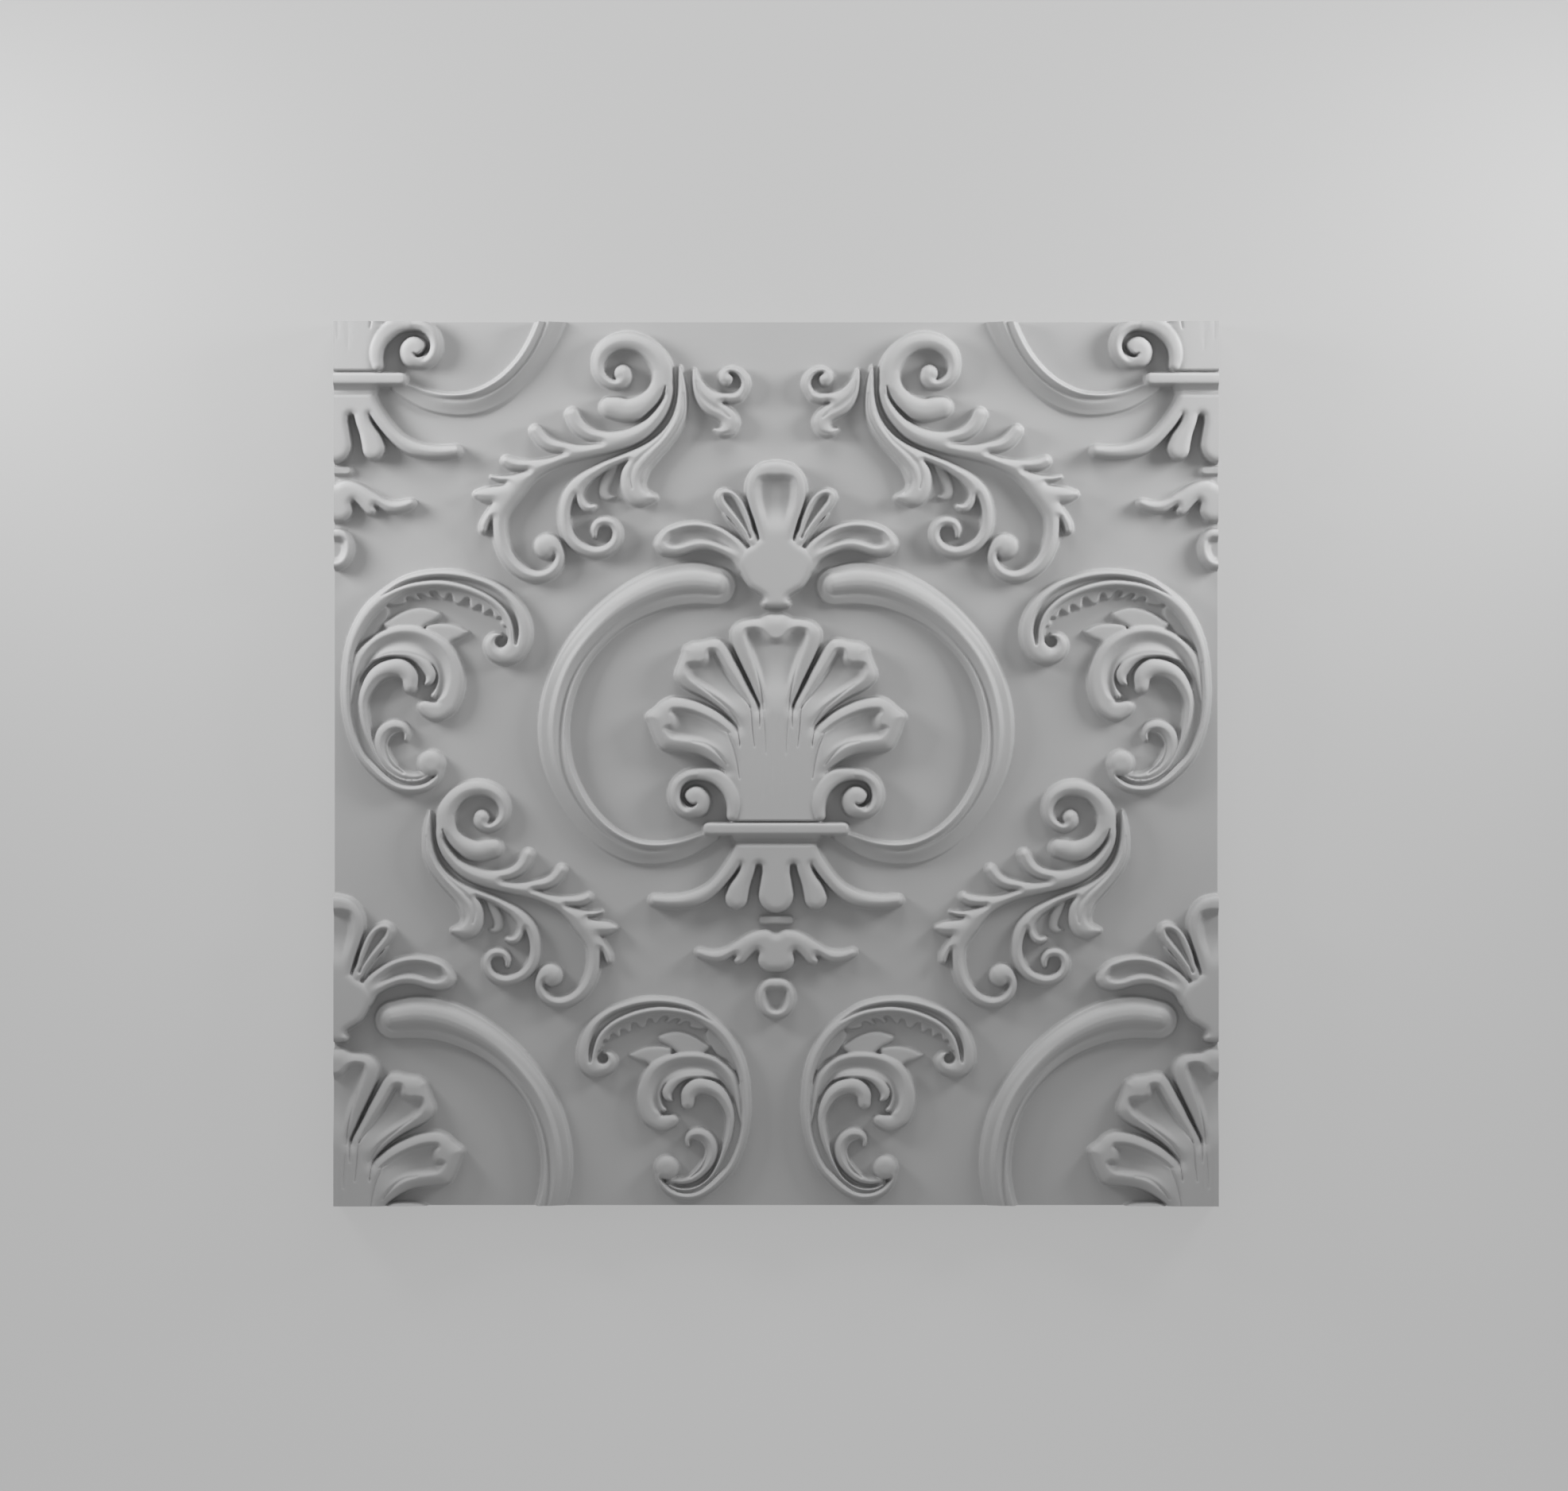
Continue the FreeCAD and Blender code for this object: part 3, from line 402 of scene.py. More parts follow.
# Leafy scroll: a double stem that ends in a small curl, a hanging lace, two flat leaves and
# three commas inside each other.
leafy = {
    "bigComma": {"rise": 7.8, "drop": 3.0, "edge": 4.0, "parts": [[
        (-240.2, 56), (-238.4, 61.8), (-235, 66), (-230, 70.3), (-225, 74), (-220, 76.3), (-215, 77.8),
        (-210, 78.3), (-205, 78), (-200, 76.8), (-195, 74.8), (-190, 72), (-185, 68.3), (-182, 64.5),
        (-180, 61), (-178.4, 57), (-177.1, 53), (-176.5, 49), (-176.5, 45), (-177.3, 39.6), (-179.1, 34.2),
        (-181.5, 30), (-185.1, 27), (-190, 24.6), (-194, 24.4), (-198, 26.1), (-201.2, 28.6),
        (-202.8, 31.8), (-202.6, 33.6), (-201.3, 35), (-198.9, 35.6), (-196.5, 35.3), (-194, 35),
        (-191.8, 35.2), (-193.2, 36.4), (-195.2, 37.6), (-195.4, 39), (-194, 40.8), (-192.6, 43.6),
        (-191.8, 47), (-192, 51), (-193.8, 55), (-197, 57.4), (-202, 59.4), (-208, 60.6), (-215, 60.8),
        (-222, 60.4), (-228, 57.6), (-232.4, 52.6), (-235.8, 46), (-238.2, 39), (-240.4, 32.4), (-242, 27),
        (-242.6, 34), (-242.2, 44), (-241.4, 50)]]},
    "commaValley": {"depth": 3.8, "line": [
        (-238.8, 36, 1.0), (-237.2, 44, 1.8), (-234.6, 52, 2.8), (-230.4, 59.4, 4.0), (-225, 65, 5.0),
        (-218, 68.2, 5.8), (-210, 69.2, 6.4), (-203, 68, 6.6), (-196, 64.2, 6.6), (-190.6, 58.4, 6.0),
        (-188.2, 51, 5.0), (-188.4, 44.6, 4.2), (-190.2, 39.4, 3.4), (-192, 37, 2.0)]},
    "commaHook": {"rise": 7.8, "drop": 3.2, "line": [
        (-227, 58.6, 0.3), (-221.5, 60.8, 0.7), (-214, 61.8, 1.4), (-207, 61.2, 2.2), (-201.2, 58.3, 2.9),
        (-197.2, 54, 3.3), (-195.4, 50, 3.1), (-196, 47.2, 2.5), (-198, 45.2, 1.1)]},
    "middleComma": {"rise": 9.6, "drop": 4.8, "edge": 5.2, "parts": [[
        (-206.8, 44.3, 4.3), (-207.5, 50, 5), (-212, 54, 5.4), (-219, 53.9, 5), (-226, 50.2, 4.5),
        (-231, 43.5, 3.7), (-233.6, 36, 2.9), (-233.2, 27, 2.6), (-231.2, 18, 2.1), (-228.9, 11, 1.5),
        (-225.8, 4, 1.2), (-222, -2, 1.0), (-217, -6.4, 0.9), (-212, -8.9, 0.9), (-206, -9.8, 0.9),
        (-200, -8.8, 0.9), (-197, -7.2, 0.8)]]},
    "middleGroove": {"depth": 0.7, "line": [
        (-213, 49.4, 0.7), (-219, 50.2, 1.3), (-225, 47.6, 1.6), (-229.2, 42.2, 1.6), (-231.6, 35, 1.4),
        (-231.8, 27, 1.2), (-230, 18, 0.7)]},
    "stemFloor": {"rise": 4.0, "drop": 1.0, "edge": 2.0, "line": [
        (-238.4, 57, 2.6), (-238.6, 46, 3.2), (-238.6, 34, 3.3), (-236.9, 22, 3.4), (-233.1, 10, 3.4),
        (-226.8, 0, 3.2), (-219, -7.5, 2.8), (-209, -11, 2.2), (-200, -10.4, 1.8), (-196, -8, 1.4)]},
    "stem": {"rise": 9.4, "drop": 4.4, "edge": 5.2, "parts": [
        [(-189.0, 0.6, 0.5), (-189.6, -3.4, 1.0), (-191.8, -8, 1.7), (-196.2, -12, 2.2), (-201, -13.9, 2.3),
         (-206, -14.4, 2.3), (-210.6, -14.1, 2.4), (-215.6, -12.5, 2.5), (-220.8, -9.3, 2.7),
         (-227.3, -3.5, 2.9), (-234, 4, 2.7), (-239, 15, 2.6), (-241.7, 25, 2.6), (-242.9, 37, 2.9),
         (-242.4, 50, 3.1), (-241.6, 60, 2.9), (-239.3, 69.3, 3.2), (-234.9, 79, 3.6), (-229, 87.5, 3.9),
         (-222.3, 93.6, 4), (-216, 98.2, 4), (-210, 101.6, 4.1), (-202, 104, 4.3), (-190, 105.2, 4.5),
         (-180, 104.6, 4.8), (-170, 101.6, 5.1), (-160, 97, 5.8), (-151.5, 89.5, 6.6), (-146, 80, 6.9),
         (-144.9, 73, 6.8), (-146.2, 67.4, 6.6), (-150, 62.8, 6.2), (-155.2, 61.2, 4.9),
         (-160.0, 63.6, 4.3), (-161.7, 68, 3.6), (-159.5, 71.8, 2.4), (-156.4, 72.6, 1.4)],
        [(-195.3, 0.3, 7.4), (-195.2, 0.4, 7.4), (-195.1, 0.3, 7.4)],
    ]},
    "stemChannel": {"floor": 3.0, "slope": 2.2, "line": [
        (-223, 94.8, 0.3), (-219, 97.2, 0.7), (-215, 99.6, 1.1), (-210, 101.7, 1.5), (-200, 104.1, 1.9),
        (-190, 104.9, 2.1), (-180, 103.8, 2.4), (-170, 100.9, 2.9), (-160.5, 96.2, 3.3), (-153, 89.4, 3.4),
        (-148.6, 81.4, 3.0), (-147.0, 74, 2.2), (-147.1, 68.4, 1.2)]},
    "innerRim": {"rise": 9.2, "drop": 3.6, "line": [
        (-222, 93.2, 1.2), (-215, 97.2, 1.7), (-210, 99.3, 1.9), (-200, 101.4, 2.0), (-190, 101.9, 2.0),
        (-180, 100.4, 2.0), (-170, 97.1, 2.0), (-160.4, 91.9, 2.0), (-153.6, 85, 2.0), (-150.4, 77.6, 1.9),
        (-149.6, 71, 1.7), (-149.4, 66.5, 1.2)]},
    "stemGroove": {"depth": 1.3, "line": [
        (-240.6, 57, 0.5), (-240.9, 50, 1.0), (-241.1, 38, 1.1), (-240.1, 26, 1.1), (-237.6, 15.4, 1.1),
        (-232.9, 5.4, 1.1), (-226, -3, 1.1), (-218.8, -9.0, 1.0), (-212, -12.0, 0.8), (-205, -12.8, 0.6),
        (-198, -10.6, 0.4)]},
    "eyeOfCurl": {"floor": 0.6, "line": [(-155.7, 69.2, 2.8), (-155.4, 69.1, 2.8), (-154.2, 70.6, 2.0),
                                         (-153.4, 73, 1.4)]},
    "lace": {"rise": 3.4, "edge": 1.0, "drop": 1.0, "outline": [
        (-221, 91), (-217, 89.7), (-213, 90), (-210, 91), (-209.2, 92.2), (-209.6, 93.5), (-208, 94.4),
        (-206, 94), (-203.5, 92.7), (-201.4, 92.8), (-202.3, 94.5), (-203.2, 96), (-201, 96.2), (-199, 95.3),
        (-196.4, 93.7), (-194.3, 94), (-195.3, 96), (-195.8, 97.4), (-194, 97.9), (-192, 97), (-190.5, 95),
        (-189, 93.4), (-187.5, 93), (-186.5, 94), (-185.6, 96), (-184.5, 96.4), (-183.5, 95), (-182.5, 92),
        (-181, 90.6), (-179.5, 90.3), (-177.5, 91.5), (-175.5, 93.6), (-174, 93.7), (-173.3, 91),
        (-172.8, 88.5), (-171.5, 87.6), (-170, 88.3), (-168.5, 89.5), (-167, 89.6), (-166.5, 87),
        (-166, 85.2), (-165, 84.8), (-163, 86), (-161.5, 86.8), (-160.5, 86), (-159.7, 83.7), (-158.3, 82.4),
        (-156, 82.7), (-155.2, 81.5), (-155.4, 79.3), (-154.5, 78), (-151, 78), (-151, 84), (-156, 91),
        (-164, 96.5), (-175, 101), (-190, 103.5), (-205, 101.5), (-215, 96.5)]},
    "tongue": {"rise": 2.6, "edge": 2.0, "drop": 0.8, "outline": [
        (-220.7, 89.5), (-219.5, 87.5), (-219.3, 85), (-220.2, 82), (-222, 79.6), (-226, 74), (-233, 69.5),
        (-238, 63.5), (-237.6, 70), (-232, 81), (-226, 87.5)]},
    "flatLeaves": [
        {"rise": 4.8, "edge": 2.6, "drop": 1.8, "outline": [
            (-222, 79.3), (-218, 82.1), (-214, 84.7), (-210, 86.6), (-205, 88.1), (-200.2, 88.5),
            (-195.8, 87.7), (-192, 86.4), (-190, 85.3), (-190.6, 82.9), (-193.2, 80.8), (-197.1, 78.8),
            (-205, 73), (-215, 73)]},
        {"rise": 4.2, "edge": 2.6, "drop": 1.8, "outline": [
            (-198, 78.3), (-194, 79.3), (-188, 79.4), (-182.7, 78.8), (-179.2, 77.7), (-175.9, 76),
            (-174, 74.9), (-175.7, 73), (-179.2, 70.8), (-182.7, 69.5), (-186, 67), (-193, 68)]},
    ],
    "smallCurl": {"rise": 7.6, "drop": 3.4, "edge": 4.4, "parts": [[
        (-209.3, 14.2, 1.3), (-208.9, 16.8, 1.8), (-210.7, 20.2, 2.9), (-215.5, 21, 4.1), (-221, 18, 4.6),
        (-223.8, 12, 4.4), (-222.3, 4.6, 3.9), (-218.3, -0.8, 3.4), (-213, -5.2, 2.8), (-206, -7.3, 2.1),
        (-199, -6.6, 1.8)]]},
    "curlHollow": {"depth": 2.4, "line": [
        (-210.6, 17.2, 0.8), (-212.8, 18.6, 1.6), (-216.8, 18.4, 2.4), (-220.4, 15.0, 2.7),
        (-221.4, 9.6, 2.5), (-219.8, 3.6, 2.0), (-216.2, -1.4, 1.3), (-211, -5.2, 0.7)]},
}


def leafyScroll(place=None, nudges=None):
    def placeOf(part):
        return {**place, "nudges": nudges[part]} if place else None
    field = newField()
    band(field, leafy["stemFloor"], placeOf("stem"))
    lobe(field, leafy["lace"], place)
    lobe(field, leafy["tongue"], place)
    for leaf in leafy["flatLeaves"]:
        lobe(field, leaf, placeOf("leaves"))
    comma = newField()
    at = placeOf("comma")
    pillow(comma, leafy["bigComma"], at)
    crease(comma, leafy["commaValley"], at)
    band(comma, leafy["commaHook"], at)
    stem = newField()
    at = placeOf("stem")
    pillow(stem, leafy["stem"], at)
    crease(stem, leafy["stemGroove"], at)
    channel(stem, leafy["stemChannel"], at)
    band(stem, leafy["innerRim"], at)
    channel(stem, leafy["eyeOfCurl"], at)
    curl = newField()
    at = placeOf("curl")
    pillow(curl, leafy["smallCurl"], at)
    crease(curl, leafy["curlHollow"], at)
    middle = newField()
    at = placeOf("middle")
    pillow(middle, leafy["middleComma"], at)
    crease(middle, leafy["middleGroove"], at)
    return np.max([field, comma, stem, curl, middle], axis=0)


# Bird-like scroll beside the upper middle.
bird = {
    "body": {"rise": 9.0, "drop": 4.4, "edge": 5.2, "parts": [
        [(-46.8, 223.5), (-47.6, 220), (-47.6, 215), (-46.9, 210), (-45.6, 206), (-44, 203), (-41.5, 200),
         (-38, 197.5), (-35, 196), (-32.5, 194.7), (-31, 193.3), (-30.8, 192), (-31.7, 190.6),
         (-33.5, 190.1), (-35, 190), (-35.6, 189), (-34.8, 187.6), (-33, 185.8), (-30, 184.8), (-26, 185.2),
         (-23, 187.2), (-21.5, 190), (-20.7, 193), (-21.2, 196), (-23, 199), (-25.5, 201.3), (-28, 203),
         (-30.2, 204.2), (-29, 204.6), (-26, 204), (-22, 204.5), (-19.5, 205.5), (-17.5, 208), (-15.7, 211),
         (-14.8, 215), (-15.5, 218.5), (-17.5, 221.5), (-20, 223.4), (-23, 224.5), (-26, 224.6),
         (-29, 223.7), (-31.3, 221.7), (-32.3, 219.3), (-32, 216.7), (-30.7, 215), (-29, 213.9),
         (-27, 213.7), (-25, 215), (-24.1, 217), (-24.4, 219), (-25.5, 220.3), (-26.6, 221.1), (-25, 221.2),
         (-22.5, 220.3), (-20.7, 218), (-20.1, 215.5), (-20.6, 213), (-22, 211), (-24, 210.1), (-27, 209.9),
         (-31, 210), (-34, 210.7), (-37, 212), (-40, 214.7), (-42.5, 218), (-44.5, 221), (-46.2, 223.6)]]},
    "creases": [
        {"depth": 0.9, "line": [(-45.2, 216, 0.6), (-43.6, 210.4, 1.5), (-40.2, 205.6, 2.2),
                                (-35.6, 202, 2.4), (-30.8, 199.4, 2.2), (-26.6, 196, 0.9)]},
        {"depth": 0.7, "line": [(-22.2, 196, 0.5), (-22.6, 191.6, 0.9), (-25.2, 187.8, 0.9),
                                (-29.4, 186.6, 0.7)]},
        {"depth": 0.8, "line": [(-18.4, 208.6, 0.4), (-16.6, 213, 0.8), (-17.2, 218.2, 0.8),
                                (-20.6, 222, 0.7), (-25, 223.2, 0.4)]},
    ],
}


def birdScroll():
    field = newField()
    pillow(field, bird["body"])
    for look in bird["creases"]:
        crease(field, look)
    return field


# Ring round the shell. Its moulding is given as heights across the band at seven places along it,
# from the blunt end over the left side and the bottom to the tail. The first two are the same.
bluntSection = [
    (0, 4.2), (0.03, 5.0), (0.12, 5.6), (0.145, 6.2), (0.17, 7.8), (0.22, 9.3), (0.30, 10.4), (0.42, 11.0),
    (0.54, 10.5), (0.63, 9.2), (0.69, 7.6), (0.72, 6.7), (0.745, 6.2), (0.78, 6.4), (0.84, 5.9), (0.92, 4.8),
    (0.97, 4.3), (1, 4.3)]
ring = {
    "line": [
        (-34, 100.6, 11), (-45, 101.9, 12), (-60, 100.3, 11.9), (-75, 94.8, 10.9), (-90, 86, 9.7),
        (-103.8, 73.5, 8.8), (-116.2, 56.7, 8.5), (-123.2, 38.7, 8.4), (-125.9, 17, 8.2),
        (-123.8, 0.9, 7.9), (-117.3, -15.8, 7.4), (-107.3, -31, 7.0), (-93.5, -43.5, 7.0),
        (-78, -50.2, 6.8), (-65, -50.8, 6.3), (-52, -48.2, 5.7), (-42, -43.9, 4.6), (-36, -41, 3.6)],
    "stations": [0.0, 0.16, 0.46, 0.70, 0.86, 0.95, 1.0],
    # share of the way from the outer to the inner edge, and the height there
    "sections": [
        bluntSection,
        bluntSection,
        [(0, 4.0), (0.06, 4.9), (0.20, 5.4), (0.33, 5.9), (0.39, 7.4), (0.46, 9.8), (0.54, 9.6), (0.65, 8.2),
         (0.73, 7.0), (0.77, 6.7), (0.81, 7.4), (0.87, 8.6), (0.92, 8.2), (0.96, 6.8), (1, 5.0)],
        [(0, 0.2), (0.12, 1.4), (0.26, 3.0), (0.40, 4.6), (0.48, 6.0), (0.54, 6.8), (0.60, 6.4), (0.66, 6.0),
         (0.72, 7.0), (0.80, 9.4), (0.88, 10.0), (0.94, 8.6), (0.97, 7.0), (0.99, 5.6), (1, 4.6)],
        [(0, 2.0), (0.05, 2.8), (0.12, 3.0), (0.30, 4.2), (0.46, 5.6), (0.56, 6.2), (0.62, 6.0), (0.69, 5.2),
         (0.75, 6.6), (0.82, 9.0), (0.90, 9.6), (0.95, 8.6), (0.98, 7.0), (0.99, 6.0), (1, 5.0)],
        [(0, 2.4), (0.06, 3.0), (0.14, 3.2), (0.30, 3.8), (0.46, 4.4), (0.56, 4.8), (0.62, 5.0), (0.69, 5.2),
         (0.75, 5.8), (0.82, 6.4), (0.90, 6.4), (0.95, 6.0), (0.98, 5.2), (0.99, 4.6), (1, 4.0)],
        [(0, 2.4), (0.06, 3.0), (0.14, 3.2), (0.30, 3.8), (0.46, 4.4), (0.56, 4.8), (0.62, 5.0), (0.69, 5.0),
         (0.75, 5.0), (0.82, 5.0), (0.90, 4.8), (0.95, 4.6), (0.98, 4.2), (0.99, 4.0), (1, 3.6)],
    ],
}


def ringField():
    # The height of each point comes from its share of the way across and its place along the band.
    # Round the blunt end the outer and the inner side of the section are blended by direction.
    field = newField()
    s = sweep(ring["line"], wallReach)
    r = np.clip(1 - s["inside"] / s["half"], 0.0, 1.0)
    direction = np.clip(s["across"] / np.maximum(r, 1e-6), -1.0, 1.0)
    steps = 200             # entries of the table across the band
    shares = np.linspace(0, 1, steps + 1)
    table = np.array([np.interp(shares, *np.array(section).T) for section in ring["sections"]])

    def sectionHeight(share):
        column = np.clip(share * steps, 0, steps - 0.001)
        row = np.interp(s["along"], ring["stations"], np.arange(len(table)))
        row = np.clip(row, 0, len(table) - 1.001)
        i, j = row.astype(int), column.astype(int)
        u, v = smooth(row - i), column - j
        near = table[i, j] * (1 - v) + table[i, j + 1] * v
        far = table[i + 1, j] * (1 - v) + table[i + 1, j + 1] * v
        return near * (1 - u) + far * u

    toInner = (1 - direction) / 2
    height = sectionHeight(0.5 - r / 2) * (1 - toInner) + sectionHeight(0.5 + r / 2) * toInner
    raiseTo(field, s["at"], wall(s["inside"]) * height)
    return field


# Palmette over the shell.
palmette = {
    "low": {"rise": 11.2, "edge": 4.2, "drop": 4.2, "parts": [[
        (-16, 122), (-20, 126.4), (-25, 130.1), (-30, 133.2), (-35, 135.3), (-40, 136.6), (-45, 137.2),
        (-50, 136.9), (-55, 136), (-60, 134.2), (-65, 130.8), (-68, 127), (-69, 123.5), (-67.5, 120.5),
        (-65, 118.5), (-62, 117.8), (-58, 117.6), (-53, 118.5), (-48, 120), (-43, 120.9), (-38, 120.8),
        (-33, 119.3), (-28, 117), (-25, 115), (-20, 108), (-10, 108)]]},
    "lowDish": {"depth": 5.6, "bank": 3.6, "fade": ((-34, 128), (-19, 118.5)), "outline": [
        (-63.4, 128), (-61.4, 130.8), (-57, 132.8), (-50, 134.6), (-44, 134.8), (-38, 133.8), (-32, 131.4),
        (-27, 128.2), (-22, 124.4), (-17, 118), (-21, 115.2), (-24, 117.4), (-28, 120.1), (-33, 122.6),
        (-38, 124.2), (-43, 124.7), (-48, 123.9), (-53, 122.3), (-58, 121.8), (-62.6, 123.4),
        (-64.2, 125.6)]},
    "side": {"rise": 11.2, "edge": 3.2, "drop": 3.6, "parts": [[
        (-16.0, 124.6), (-19.4, 130.6), (-24, 136.6), (-27, 139.9), (-30.2, 143.4), (-33, 147.4),
        (-34.1, 151), (-33, 154), (-29.5, 155.8), (-25, 154.8), (-22, 152.7), (-19.5, 150), (-17.5, 146.8),
        (-15.8, 143), (-14, 138), (-12.3, 132), (-10.8, 129), (-10, 124), (-13, 121)]]},
    "sideDish": {"depth": 5.4, "bank": 2.8, "outline": [
        (-30.6, 152.4), (-27, 153.0), (-23.6, 151.3), (-20.7, 147.7), (-18.3, 142.7), (-16.3, 137.2),
        (-14.5, 131.5), (-13.4, 127.2), (-14.4, 126.6), (-17.2, 131), (-20.8, 136.1), (-24.6, 140.9),
        (-27.9, 145), (-30.4, 149)]},
    "outerLine": {"rise": 5.6, "drop": 1.6, "line": [
        (-29.4, 141.4, 0.3), (-27.0, 138.2, 0.8), (-23.9, 134.8, 1.1), (-20.1, 129.9, 1.2),
        (-17.2, 125, 1.2), (-15, 120, 0.8)]},
    "centre": {"rise": 12.0, "edge": 4.2, "drop": 3.8, "outline": twinned([
        (0, 171.3), (-5, 170.8), (-10, 169), (-13, 166.3), (-15, 163.5), (-16.4, 160.5), (-17.1, 157),
        (-17.2, 154), (-16.8, 151), (-15.6, 146), (-14, 141), (-12.6, 137), (-11.4, 133), (-10.4, 129.5),
        (-9.6, 125), (-9, 116), (0, 114)])},
    "centreDish": {"depth": 5.4, "bank": 4.6, "fade": ((0, 150), (0, 129)), "outline": twinned([
        (0, 164), (-6, 163.8), (-10.4, 162), (-12, 158), (-12, 152), (-11.2, 146), (-9.6, 140), (-7.8, 134),
        (-6.2, 128), (0, 125)])},
    "body": {"rise": 12.0, "edge": 3.8, "drop": 3.4, "outline": twinned([
        (0, 129), (-9, 127.4), (-13, 124), (-17, 121.4), (-20.6, 117.6), (-21.6, 113.5), (-20.3, 109),
        (-18.5, 105), (-17, 102.5), (-15, 100), (-12, 98), (-9, 96.2), (-7, 94.6), (-6.6, 93.6),
        (-7.4, 92.6), (-8.2, 91.4), (-8.1, 89.8), (-7, 88.6), (-5, 88.2), (0, 88.1)])},
}


def palmetteField():
    low, side, centre = newField(), newField(), newField()
    pillow(low, palmette["low"])
    dish(low, palmette["lowDish"])
    pillow(side, palmette["side"])
    dish(side, palmette["sideDish"])
    lobe(centre, palmette["centre"])
    dish(centre, palmette["centreDish"])
    field = np.max([low, side, centre], axis=0)
    band(field, palmette["outerLine"])
    lobe(field, palmette["body"])
    return field


